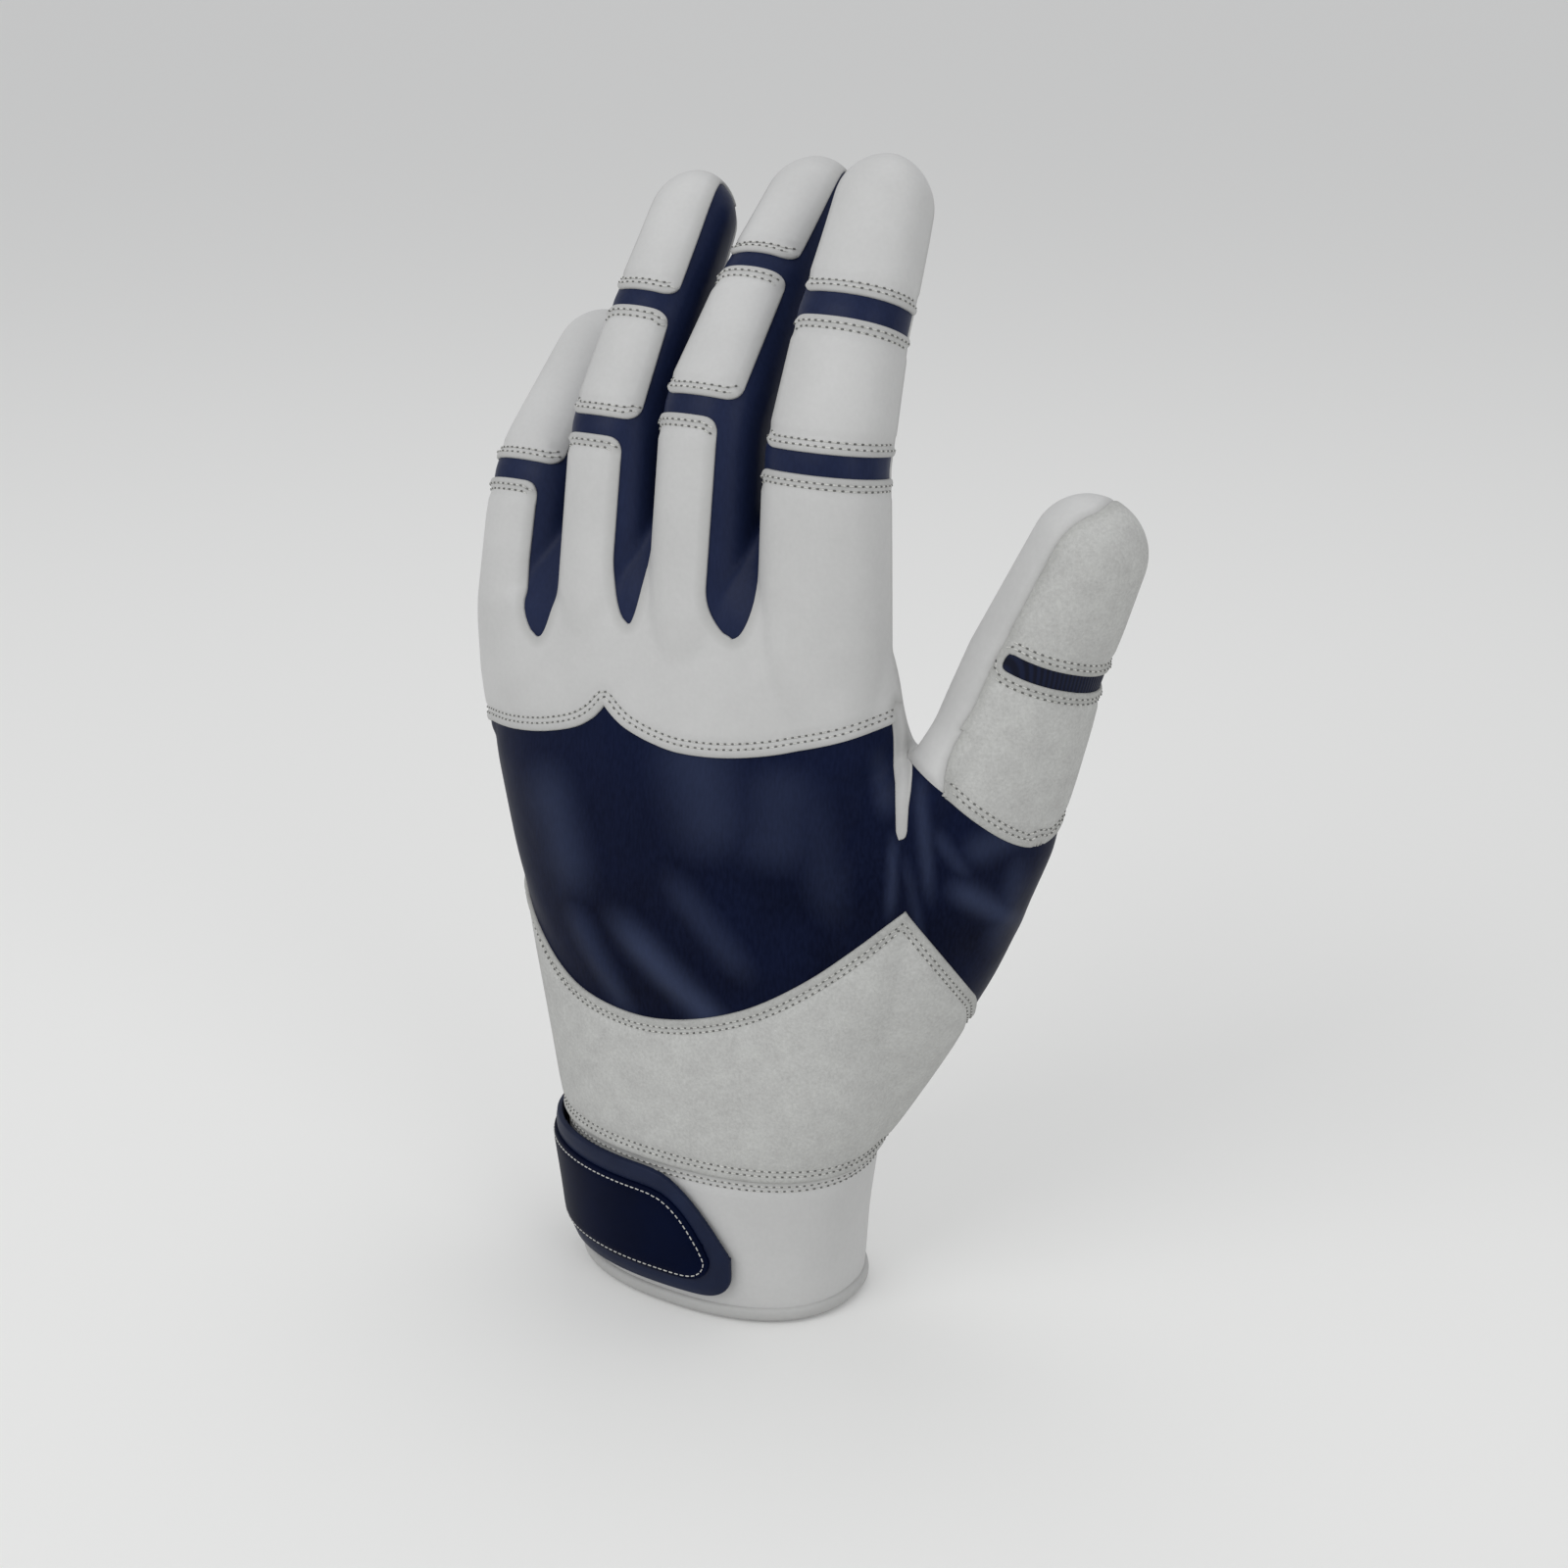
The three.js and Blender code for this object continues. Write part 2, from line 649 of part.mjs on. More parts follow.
// Everything between a seam line and a level far above or below it
function besideSeam(shares, sign) {
  const line = seamLine(shares, sign * seamGap);
  const level = sign > 0 ? rootHeight + cutOverrun : -cutOverrun;
  const reach = cutOverrun;
  const ends = [line[0][1], line[line.length - 1][1]];
  const outline = [[-reach, level], [-reach, ends[0]], ...line, [reach, ends[1]], [reach, level]];
  return frontPrism(outline, -cutOverrun, cutOverrun);
}

function tongueCutter(grow) {
  const middle = (tongueShares[2][0] + tongueShares[3][0]) / 2;
  const outline = tongueShares.map((place) => {
    const [x, z] = acrossAndUp(place);
    return [x + Math.sign(place[0] - middle) * grow, z - grow];
  });
  return frontPrism(outline, -cutOverrun, cutOverrun);
}

// Back or palm side of the side seams, above the cuff; past its bend the seam follows the thumb
function sideOf(sign) {
  const reach = cutOverrun;
  const shift = sign * halfSeam;
  const bend = [sideSeam.bendAcross - shift, sideSeam.thumbEdge + shift];
  const outline = [
    [-reach, sideSeam.littleEdge + shift],
    bend,
    [bend[0] + reach * Math.cos(thumbTurn), bend[1] + reach * Math.sin(thumbTurn)],
    [bend[0] + reach * Math.cos(thumbTurn), sign * reach * 2],
    [-reach, sign * reach * 2],
  ];
  return planPrism(outline, cuffHeight + halfSeam, rootHeight + cutOverrun);
}

function webCutter(index, grow) {
  const middle = fingerBounds[index];
  const bottom = Math.min(rootOf(rowOfFingers[index]), rootOf(rowOfFingers[index + 1])) - webDrop;
  const half = webHalf + grow;
  const outline = [[middle + half, rootHeight + cutOverrun], [middle - half, rootHeight + cutOverrun]];
  for (let step = 0; step <= webSteps; step += 1) {
    const turn = Math.PI * (1 + step / webSteps);
    outline.push([middle + half * Math.cos(turn), bottom + webHalf + half * Math.sin(turn)]);
  }
  return frontPrism(outline, -cutOverrun, cutOverrun);
}

function addHand() {
  const shell = handShell();
  const back = shell.intersect(sideOf(-1));
  let knuckles = back.intersect(besideSeam(knuckleSeamShares, 1)).subtract(tongueCutter(seamGap));
  let palm = shell.intersect(sideOf(1));
  const webNames = ['ring_little_web', 'middle_ring_web', 'index_middle_web'];
  webNames.forEach((name, index) => {
    addPiece(name, shell.intersect(webCutter(index, 0)), 'stretch');
    knuckles = knuckles.subtract(webCutter(index, seamGap));
    palm = palm.subtract(webCutter(index, seamGap));
  });
  const belowKnuckles = back.intersect(besideSeam(knuckleSeamShares, -1)).subtract(tongueCutter(seamGap));
  addPiece('palm_leather', palm, 'leather');
  addPiece('knuckle_panel', knuckles, 'leather');
  addPiece('back_panel', belowKnuckles.intersect(besideSeam(wristSeamShares, 1)), 'stretch');
  addPiece('wrist_panel', back.intersect(besideSeam(wristSeamShares, -1)), 'suede');
  addPiece('web_tongue', back.intersect(tongueCutter(0)), 'leather');
}

// Cuff, its bound hem and the slit that opens them under the strap

const handFrame = frameAt(new THREE.Vector3(), zAxis, yAxis);
const slitY = strapHingeY - slitWidth;

function band(solid, zFrom, zTo) {
  const corners = [[-1, -1], [1, -1], [1, 1], [-1, 1]];
  const outline = corners.map(([x, y]) => [x * cutOverrun, y * cutOverrun]);
  return solid.intersect(planPrism(outline, zFrom, zTo));
}

function slit() {
  const half = slitWidth / 2;
  const outline = [[slitY - half, -hemHeight], [slitY + half, -hemHeight], [slitY, slitTop]];
  return sidePrism(handFrame, outline, -cutOverrun, 0);
}

function layer(from, to) {
  return pocket(-to).subtract(pocket(-from));
}

function addCuff() {
  const wall = pocket(0).subtract(pocket(leatherWall));
  addPiece('cuff', band(wall, hemHeight + halfSeam, cuffHeight - halfSeam).subtract(slit()), 'leather');
  const binding = pocket(-hemBulge).subtract(pocket(leatherWall + hemBulge / 2));
  addPiece('cuff_binding', band(binding, 0, hemHeight - halfSeam).subtract(slit()), 'leather');
}

// Closing strap: loop patch on the cuff, then hook patch, strap and raised panel, each over the last

const hookFrom = seamGap + patchWall + seamGap;
const strapFrom = hookFrom + patchWall + seamGap;
const strapOutside = strapFrom + strapWall;

function strapCutter(margin, yTo) {
  const top = strapTop - margin;
  const bottom = strapBottom + margin;
  const nose = strapReach - margin;
  const outline = [
    [-cutOverrun, bottom],
    ...curve([nose - noseRound, bottom], [nose, bottom], [nose, bottom + noseRound], noseSteps),
    ...curve([nose, strapNoseTop], [strapShoulder + noseSlope, top], [strapShoulder, top], noseSteps),
    [-cutOverrun, top],
  ];
  return frontPrism(outline, -cutOverrun, yTo);
}

function addStrap() {
  const patchEnd = slitY - slitWidth;
  const loop = layer(seamGap, seamGap + patchWall).intersect(strapCutter(patchMargin, patchEnd));
  addPiece('loop_patch', loop, 'hook');
  const hook = layer(hookFrom, hookFrom + patchWall).intersect(strapCutter(patchMargin, patchEnd));
  addPiece('hook_patch', hook, 'hook');
  const strap = layer(strapFrom, strapOutside).intersect(strapCutter(0, strapHingeY - halfSeam));
  addPiece('strap', strap, 'strap');
  const raised = layer(strapOutside + seamGap, strapOutside + seamGap + panelRise);
  addPiece('strap_panel', raised.intersect(strapCutter(patchMargin, slitY)), 'strap');
  const anchorFrom = strapHingeY + halfSeam;
  const anchorEnd = anchorReach - knuckleBreadth / 2;
  const anchorPlan = [
    [-cutOverrun, anchorFrom], [anchorEnd, anchorFrom], [anchorEnd, handDepth], [-cutOverrun, handDepth],
  ];
  const anchor = layer(seamGap, strapOutside).intersect(planPrism(anchorPlan, strapBottom, strapTop));
  addPiece('strap_anchor', anchor, 'strap');
}

addHand();
addCuff();
addStrap();
for (const [name, finger] of Object.entries(fingers)) addDigit(name, finger.segments, 'leather');
addDigit('thumb', thumb, 'suede');

export default group;
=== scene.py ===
import math

import bpy
import numpy as np
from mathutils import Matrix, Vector
from mathutils.kdtree import KDTree


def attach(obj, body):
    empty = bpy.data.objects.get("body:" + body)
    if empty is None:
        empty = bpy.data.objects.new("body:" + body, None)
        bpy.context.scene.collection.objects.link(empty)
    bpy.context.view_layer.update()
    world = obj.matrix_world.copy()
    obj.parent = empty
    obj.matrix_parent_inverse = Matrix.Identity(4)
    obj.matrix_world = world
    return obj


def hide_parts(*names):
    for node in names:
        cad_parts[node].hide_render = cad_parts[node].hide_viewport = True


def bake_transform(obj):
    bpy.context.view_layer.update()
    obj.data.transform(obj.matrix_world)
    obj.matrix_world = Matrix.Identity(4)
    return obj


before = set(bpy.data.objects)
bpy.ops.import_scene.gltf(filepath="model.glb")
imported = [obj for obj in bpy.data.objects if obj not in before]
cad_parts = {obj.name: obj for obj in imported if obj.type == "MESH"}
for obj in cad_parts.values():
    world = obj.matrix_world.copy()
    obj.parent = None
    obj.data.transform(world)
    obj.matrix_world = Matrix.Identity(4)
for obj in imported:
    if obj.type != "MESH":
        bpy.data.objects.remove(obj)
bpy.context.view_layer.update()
bpy.ops.object.select_all(action="DESELECT")

# A left-hand batting glove. Shapes are worked out in millimetres in the CAD frame and shown in metres.
MM = 0.001

# Height of the finger roots, and what the shares in the hand's stations are multiplied by
ROOT_HEIGHT = 137.0
HAND_SCALE = np.array([ROOT_HEIGHT, 92.0, 92.0, 36.0, 36.0])
CUFF_HEIGHT = 31.5
# The hem's binding covers the cuff's edge up to here, and the slit runs up from it on the little-finger side
HEM_TOP = 1.3
SLIT_TOP, SLIT_AT, SLIT_HALF = 30.0, 1.0, 2.0

# Height, little-finger side, thumb side, back and palm of the hand's sections
HAND_STATIONS = np.array([
    [0.0, -0.326, 0.315, -0.575, 0.56],
    [0.12, -0.348, 0.322, -0.592, 0.59],
    [0.23, -0.375, 0.346, -0.608, 0.61],
    [0.33, -0.405, 0.405, -0.6, 0.6],
    [0.44, -0.443, 0.42, -0.575, 0.59],
    [0.55, -0.481, 0.43, -0.555, 0.58],
    [0.66, -0.518, 0.42, -0.54, 0.555],
    [0.77, -0.551, 0.4, -0.52, 0.5],
    [0.87, -0.578, 0.38, -0.49, 0.42],
    [0.94, -0.572, 0.382, -0.45, 0.3],
    [1.0, -0.562, 0.385, -0.4, 0.178],
])
WEB_STATIONS = np.array([
    [0.33, 0.1, 0.36, -0.34, 0.4],
    [0.5, 0.14, 0.46, -0.36, 0.44],
    [0.66, 0.17, 0.5, -0.36, 0.44],
    [0.8, 0.2, 0.43, -0.2, 0.36],
])
# Ridge of the web between index finger and thumb: across, up, depth, and radius of its rounding
WEB_RIDGE = np.array([
    [31.0, 136.0, -2.0, 5.5], [35.6, 135.5, -2.0, 6.0], [37.3, 129.5, -1.5, 7.0], [38.0, 124.0, -1.0, 8.0],
    [38.2, 119.0, 0.5, 9.0], [38.2, 115.8, 2.0, 9.5], [39.4, 115.0, 3.5, 10.0], [41.2, 118.2, 5.0, 10.0],
    [44.0, 123.8, 8.0, 9.5], [48.0, 132.0, 11.0, 8.5], [52.0, 134.0, 12.0, 8.0],
])

# Seams of the back of the hand, across and up in millimetres: each runs to a peak and on from it
KNUCKLE_SEAM = [
    [(-66, 103.0), (-52, 108.2), (-46.8, 110.0), (-38, 111.3), (-29.8, 112.9), (-22, 115.3), (-17.6, 117.9),
     (-14.8, 120.8)],
    [(-14.8, 120.8), (-12, 118.6), (-9.1, 117.1), (-4, 115.6), (2.2, 114.7), (11, 115.1), (20.2, 116.7), (28, 119.0),
     (36.3, 121.8), (48, 126.5)],
]
WRIST_SEAM = [
    (-66, 84.0), (-45, 78.0), (-36, 70.6), (-28, 64.9), (-19.4, 61.6), (-6.8, 60.5), (4.5, 62.2), (16.7, 66.6),
    (27.3, 73.2), (36, 80.6), (44.2, 88.6), (66, 110.0),
]
# Beyond its peak the wrist seam runs straight down to the heel of the thumb, as the camera sees it
WRIST_DROP = ((922.0, 931.0), (990.0, 1012.0))
# Outline of the tongue as the camera sees it, in pixels of the photograph's frame
TONGUE = [
    (911.0, 716.0), (911.0, 735.0), (912.6, 751.0), (913.2, 782.0), (915.2, 799.0), (915.6, 826.0), (916.0, 849.0),
    (917.6, 854.0), (920.4, 855.6), (923.0, 853.0), (924.2, 848.0), (925.8, 823.0), (928.4, 806.0), (929.8, 791.0),
    (930.0, 782.0), (928.0, 771.0), (925.0, 758.0), (925.0, 740.0), (932.0, 716.0),
]
# Palm leather that laps over the web on to the back, above the peak of the dark panel, as the camera sees it
WEB_LAP = [
    (930.0, 812.0), (964.5, 835.0), (964.5, 808.0), (966.0, 792.0), (969.5, 776.0), (976.0, 760.0), (986.0, 744.0),
    (940.0, 738.0), (926.0, 732.0), (922.0, 740.0), (928.0, 784.0),
]
# Seam across the root of the thumb: width across the thumb and height over its root
ROOT_SEAM = [(-20.0, 8.2), (-14.4, 6.0), (-9.4, 3.8), (-1.6, 1.2), (4.6, 0.4), (9.8, 1.9), (14.0, 4.5), (18.0, 8.0)]

# Fingers from the index finger to the little finger; lengths and leans follow the palm side, and each
# insert has a half width and a place beyond its joint
FINGERS = {
    "index": {
        "axis": 24.2, "root": 137.0, "back": -14.2, "squeeze": (0.45, 0.0), "edges": (0.26, 0.3),
        "inserts": ((2.2, 0.2), (2.4, 1.9)),
        "widths": [24.4, 22.4, 20.0, 16.8], "depths": [20.6, 19.6, 17.8, 14.6],
        "lengths": [29.6, 21.6, 30.8], "leans": [0.5, 18.0, 28.0], "drift": -1.3,
    },
    "middle": {
        "axis": 0.3, "root": 137.0, "back": -15.8, "squeeze": (0.45, 0.45), "edges": (0.26, 0.26),
        "inserts": ((2.05, 0.2), (1.9, 0.2)),
        "widths": [21.4, 20.8, 19.2, 17.2], "depths": [21.0, 20.0, 18.4, 15.6],
        "lengths": [32.3, 23.6, 29.0], "leans": [6.5, 39.0, 46.0], "drift": -0.9,
    },
    "ring": {
        "axis": -21.1, "root": 136.0, "back": -15.2, "squeeze": (0.45, 0.45), "edges": (0.26, 0.26),
        "inserts": ((2.0, 0.3), (1.9, 0.0)),
        "widths": [20.2, 19.4, 17.8, 16.0], "depths": [20.0, 19.0, 17.2, 14.6],
        "lengths": [29.0, 21.0, 29.2], "leans": [7.5, 29.0, 35.0], "drift": -0.7,
    },
    "little": {
        "axis": -42.3, "root": 131.0, "back": -12.0, "squeeze": (0.0, 0.45), "edges": (0.42, 0.26),
        "inserts": ((2.2, 0.0),),
        "widths": [19.0, 19.4, 15.0], "depths": [18.0, 16.8, 13.8],
        "lengths": [21.4, 35.4], "leans": [11.0, 41.0], "drift": 0.0,
    },
}
# Between neighbours: place across, height where the dark gusset starts, its half width on each side and the
# rise over which it opens, and the back, the palm side and the root of the web that fills the valley
GAPS = [
    {"at": 11.5, "bottom": 136.4, "left": 6.2, "right": 3.5, "rise": 9.0,
     "back": -15.0, "palm": 3.0, "root": 137.0},
    {"at": -10.7, "bottom": 135.8, "left": 5.3, "right": 2.0, "rise": 13.0,
     "back": -15.5, "palm": 3.0, "root": 136.5},
    {"at": -32.0, "bottom": 130.0, "left": 6.2, "right": 3.8, "rise": 14.0,
     "back": -13.6, "palm": 4.4, "root": 132.0},
]
# Rise over a web's root, and how far the web's back is set back there
WEB_SLOPE = [(-16, 1.4), (-8, 0.7), (-2, 0.8), (3, 1.9), (8, 4.0), (12, 6.6), (16, 9.8), (19, 13.0)]
# Webs, and the palm below them, that are drawn smooth between the fingers: place and reach
TAUT = [
    ((39.0, 0.0, 113.0), 18.0), ((11.5, -10.0, 139.0), 9.0), ((-10.7, -10.0, 138.0), 9.0),
    ((-32.0, -9.0, 134.5), 10.0), ((11.5, 8.0, 137.0), 10.0), ((0.3, 9.0, 137.0), 10.0),
    ((-10.7, 8.0, 137.0), 10.0), ((-21.1, 8.0, 137.0), 10.0), ((-32.0, 8.0, 137.0), 10.0),
]
# Share of a finger's width that its pale back covers, and length of the tip's dome as a share of its depth
PANEL_SHARE = 0.72
DOME_SHARE = 0.62

# Back of the thumb at its root, its bend and its tip, and the sizes there
THUMB_PLACES = np.array([[50.0, 11.4, 105.5], [57.9, 15.4, 133.2], [69.7, 19.4, 164.6]])
THUMB_WIDTHS = [30.0, 25.0, 18.2]
THUMB_DEPTHS = [24.0, 21.0, 17.0]
# Sections inside the palm that the thumb grows out of: place, width and depth
THUMB_HEEL = [(np.array([22.5, 4.0, 40.0]), 25.0, 20.0), (np.array([36.4, 8.0, 72.0]), 31.0, 26.0)]
THUMB_SIDE = np.array([-math.sin(math.radians(60)), math.cos(math.radians(60)), 0.0])
# Half width of the thumb's insert and its place beyond the bend
THUMB_INSERT = (1.95, 3.4)
# Side seams of the thumb as shares of its depth, on the index side and on the outer side
THUMB_SEAMS = (0.68, 0.36)

# Height at which each finger starts to bend at its root, and the rise over which it does
ROOT_BENDS = {"index": (138.0, 13.5), "middle": (137.0, 14.0), "ring": (136.0, 14.0), "little": (133.0, 11.5)}
# Length of the thumb at which its root's zone and its bend's zone start
THUMB_ZONES = (6.0, 20.0)
# The thumb's panels lie beyond this place across, and the seams of the hand's back below this height
WEB_SIDE, HAND_TOP = 37.0, 140.0

# Strap: its top, its lower edge, its nose and where its slope meets the top; the anchor's end and lower edge
STRAP_TOP, STRAP_FOOT, STRAP_NOSE, STRAP_SLOPE = 30.6, 5.4, 14.0, -4.0
ANCHOR_END, ANCHOR_FOOT = -24.0, 6.2

STITCH_PITCH = 1.45
# Stitch rows of each seam, as distances in from the panel's edge
ROWS = {
    "insert": (0.85, 1.85), "knuckle": (1.3, 2.35), "wrist": (1.3, 2.35), "root": (1.3, 2.35), "cuff": (1.3, 2.35),
    "top": (1.3, 2.35),
}
# Cells of the remeshed surface, thickness of the panels, roll of their rims, and how far in an edge is felt
VOXEL = 0.72
WALL = 0.8
ROLL = 0.3
REACH = 14.0


# Camera, floor and light

CAMERA_PLACE = np.array([245.3, -371.0, 264.4])
CAMERA_TARGET = np.array([13.5, 0.0, 105.1])
CAMERA_ANGLE = math.radians(35)


def seen(points):
    """Where the camera sees points, in pixels of a frame 1600 wide and high."""
    ahead = (CAMERA_TARGET - CAMERA_PLACE) / np.linalg.norm(CAMERA_TARGET - CAMERA_PLACE)
    right = np.cross(ahead, (0, 0, 1))
    right /= np.linalg.norm(right)
    rel = points - CAMERA_PLACE
    scale = 800 / math.tan(CAMERA_ANGLE / 2) / (rel @ ahead)
    return np.stack([800 + scale * (rel @ right), 800 - scale * (rel @ np.cross(right, ahead))], -1)


def add_camera():
    data = bpy.data.cameras.new("camera")
    data.angle = CAMERA_ANGLE
    camera = bpy.data.objects.new("camera", data)
    bpy.context.scene.collection.objects.link(camera)
    place, target = Vector(CAMERA_PLACE) * MM, Vector(CAMERA_TARGET) * MM
    camera.location = place
    camera.rotation_euler = (target - place).to_track_quat("-Z", "Y").to_euler()
    bpy.context.scene.camera = camera


def add_node(tree, kind, output, inputs=None, stops=(), **settings):
    """One node with its settings, a ramp's stops, and its inputs as values or as sockets to link."""
    made = tree.nodes.new(f"ShaderNode{kind}")
    for key, value in settings.items():
        setattr(made, key, value)
    if stops:
        for element, (at, code) in zip(made.color_ramp.elements, stops):
            element.position = at
            element.color = colour(code)
    for key, value in (inputs or {}).items():
        if isinstance(value, bpy.types.NodeSocket):
            tree.links.new(value, made.inputs[key])
        else:
            made.inputs[key].default_value = value
    return made.outputs[output]


def colour(code):
    """sRGB hex to the linear colour that a socket takes."""
    parts = [int(code[i : i + 2], 16) / 255 for i in (0, 2, 4)]
    return tuple(c / 12.92 if c <= 0.04045 else ((c + 0.055) / 1.055) ** 2.4 for c in parts) + (1.0,)


def add_area(name, place, target, size, power):
    data = bpy.data.lights.new(name, "AREA")
    data.shape = "RECTANGLE"
    data.size, data.size_y = size
    data.energy = power
    lamp = bpy.data.objects.new(name, data)
    bpy.context.scene.collection.objects.link(lamp)
    lamp.location = place
    lamp.rotation_euler = (Vector(target) - Vector(place)).to_track_quat("-Z", "Y").to_euler()


def add_stage():
    bpy.ops.mesh.primitive_plane_add(size=60, location=(0, 0, -0.0006))
    floor = bpy.context.object
    floor.name = "floor"
    made = bpy.data.materials.new("painted_floor")
    made.use_nodes = True
    shader = made.node_tree.nodes["Principled BSDF"]
    shader.inputs["Base Color"].default_value = colour("dededc")
    shader.inputs["Roughness"].default_value = 0.9
    shader.inputs["Emission Color"].default_value = colour("6e6e6e")
    tree = made.node_tree
    shown = 0.0
    for ray in ("Is Camera Ray", "Is Glossy Ray", "Is Transmission Ray"):
        shown = add_node(tree, "Math", 0, {0: shown, 1: add_node(tree, "LightPath", ray)}, operation="MAXIMUM")
    tree.links.new(shown, shader.inputs["Emission Strength"])
    floor.data.materials.append(made)
    world = bpy.data.worlds.new("studio")
    bpy.context.scene.world = world
    world.use_nodes = True
    back = world.node_tree.nodes["Background"]
    back.inputs["Color"].default_value = colour("f2f3f5")
    back.inputs["Strength"].default_value = 0.6
    add_area("key_light", (-0.3, -1.0, 0.85), (0, 0, 0.12), (0.8, 0.8), 4.6)
    add_area("side_light", (0.95, -0.45, 0.5), (0.02, 0, 0.12), (0.5, 0.8), 1.8)
    add_area("top_light", (-0.1, 0.3, 1.1), (0, 0, 0.15), (0.6, 0.5), 1.6)
    bpy.context.scene.view_settings.view_transform = "Standard"


# Sections and lofts


def section(sides, roundness):
    turn = np.linspace(0, 2 * math.pi, sides, endpoint=False)
    power = 2 / roundness
    across = np.sign(np.sin(turn)) * np.abs(np.sin(turn)) ** power
    deep = np.sign(np.cos(turn)) * np.abs(np.cos(turn)) ** power
    return across, deep


def glide(a, b, c, d, t):
    """Place on the smooth line from b to c, at a share t of the way, between the neighbours a and d."""
    return 0.5 * (2 * b + (c - a) * t + (2 * a - 5 * b + 4 * c - d) * t**2 + (3 * b - a - 3 * c + d) * t**3)


def loft(rings, hollowed=False):
    """Vertices and triangles of a row of closed rings; a hollowed ring is its top line and its foot."""
    sides = len(rings[0])
    points = np.concatenate(rings)
    count = len(points)
    points = np.vstack([points, rings[0].mean(0), rings[-1].mean(0)])
    row = np.arange(len(rings) - 1)[:, None] * sides
    side = np.arange(sides)[None, :]
    after = (side + 1) % sides
    a, b = row + side, row + after
    quads = [np.stack([a, b, b + sides], -1), np.stack([a, b + sides, a + sides], -1)]
    faces = np.concatenate([q.reshape(-1, 3) for q in quads])
    last = (len(rings) - 1) * sides
    here, then = np.arange(sides), (np.arange(sides) + 1) % sides
    ends = [
        np.stack([np.full(sides, count), then, here], -1),
        np.stack([np.full(sides, count + 1), last + here, last + then], -1),
    ]
    if hollowed:
        here = np.arange(sides // 2 - 1)
        far = sides - 1 - here
        cap = np.concatenate([np.stack([here, far, far - 1], -1), np.stack([here, far - 1, here + 1], -1)])
        ends = [cap, cap[:, ::-1] + last]
    return points, np.concatenate([faces, *ends])


def smooth_table(shares, spread):
    """Section sizes at each millimetre of height, with the corners between stations eased."""
    table = shares * HAND_SCALE
    first = table[0] - (table[1] - table[0]) / (table[1, 0] - table[0, 0]) * 30
    last = table[-1] + (table[-1] - table[-2]) / (table[-1, 0] - table[-2, 0]) * 30
    table = np.vstack([first, table, last])
    heights = np.arange(table[0, 0], table[-1, 0], 1.0)
    kernel = np.hanning(2 * spread + 1)
    kernel /= kernel.sum()
    columns = [heights]
    for column in table.T[1:]:
        values = np.interp(heights, table[:, 0], column)
        values = np.pad(values, spread, mode="reflect", reflect_type="odd")
        columns.append(np.convolve(values, kernel, mode="valid"))
    return np.stack(columns, -1)


HAND_TABLE = smooth_table(HAND_STATIONS, 8)


def hand_ring(table, height, offset, sides=96):
    little, thumb, back, palm = (np.interp(height, table[:, 0], column) for column in table.T[1:])
    little, thumb, back, palm = little - offset, thumb + offset, back - offset, palm + offset
    across, deep = section(sides, 2.3)
    x = (little + thumb) / 2 + across * (thumb - little) / 2
    y = (back + palm) / 2 - deep * (palm - back) / 2
    return np.stack([x, y, np.full(sides, height)], -1)


def frame_at(origin, along, palm):
    """Directions at a place in a finger: along it, square to that towards the palm side, and across."""
    palmward = palm - along * (palm @ along)
    palmward = palmward / np.linalg.norm(palmward)
    return {"origin": origin, "along": along, "palmward": palmward, "across": np.cross(palmward, along)}


def finger_frames(spec):
    origin = np.array([spec["axis"], spec["back"] + spec["depths"][0], spec["root"]])
    frames = []
    for length, lean in zip(spec["lengths"], spec["leans"]):
        turn = math.radians(lean)
        along = np.array([0.0, math.sin(turn), math.cos(turn)])
        made = frame_at(origin, along, np.array([0.0, 1.0, 0.0]))
        made["length"] = length
        frames.append(made)
        origin = origin + along * length
    return frames


for finger in FINGERS.values():
    finger["frames"] = finger_frames(finger)

THUMB_POINTS = [place + THUMB_SIDE * depth / 2 for place, depth in zip(THUMB_PLACES, THUMB_DEPTHS)]


def thumb_frames():
    frames = []
    for start, end in zip(THUMB_POINTS[:-1], THUMB_POINTS[1:]):
        line = end - start
        made = frame_at(start, line / np.linalg.norm(line), THUMB_SIDE)
        made["length"] = np.linalg.norm(line)
        frames.append(made)
    return frames


THUMB_FRAMES = thumb_frames()


def tube_ring(place, w, width, depth, squeeze, shrink=1.0, sink=0.0, aside=0.0, sides=40):
    """Section of a finger: depth is measured from its palm side."""
    across, deep = section(sides, 2.25)
    halves = np.where(across > 0, width / 2 - squeeze[1], width / 2 - squeeze[0])
    u = across * halves * shrink + aside
    v = depth / 2 + deep * depth / 2 * shrink - sink
    return place["origin"] + np.outer(u, place["across"]) - np.outer(v, place["palmward"]) + place["along"] * w


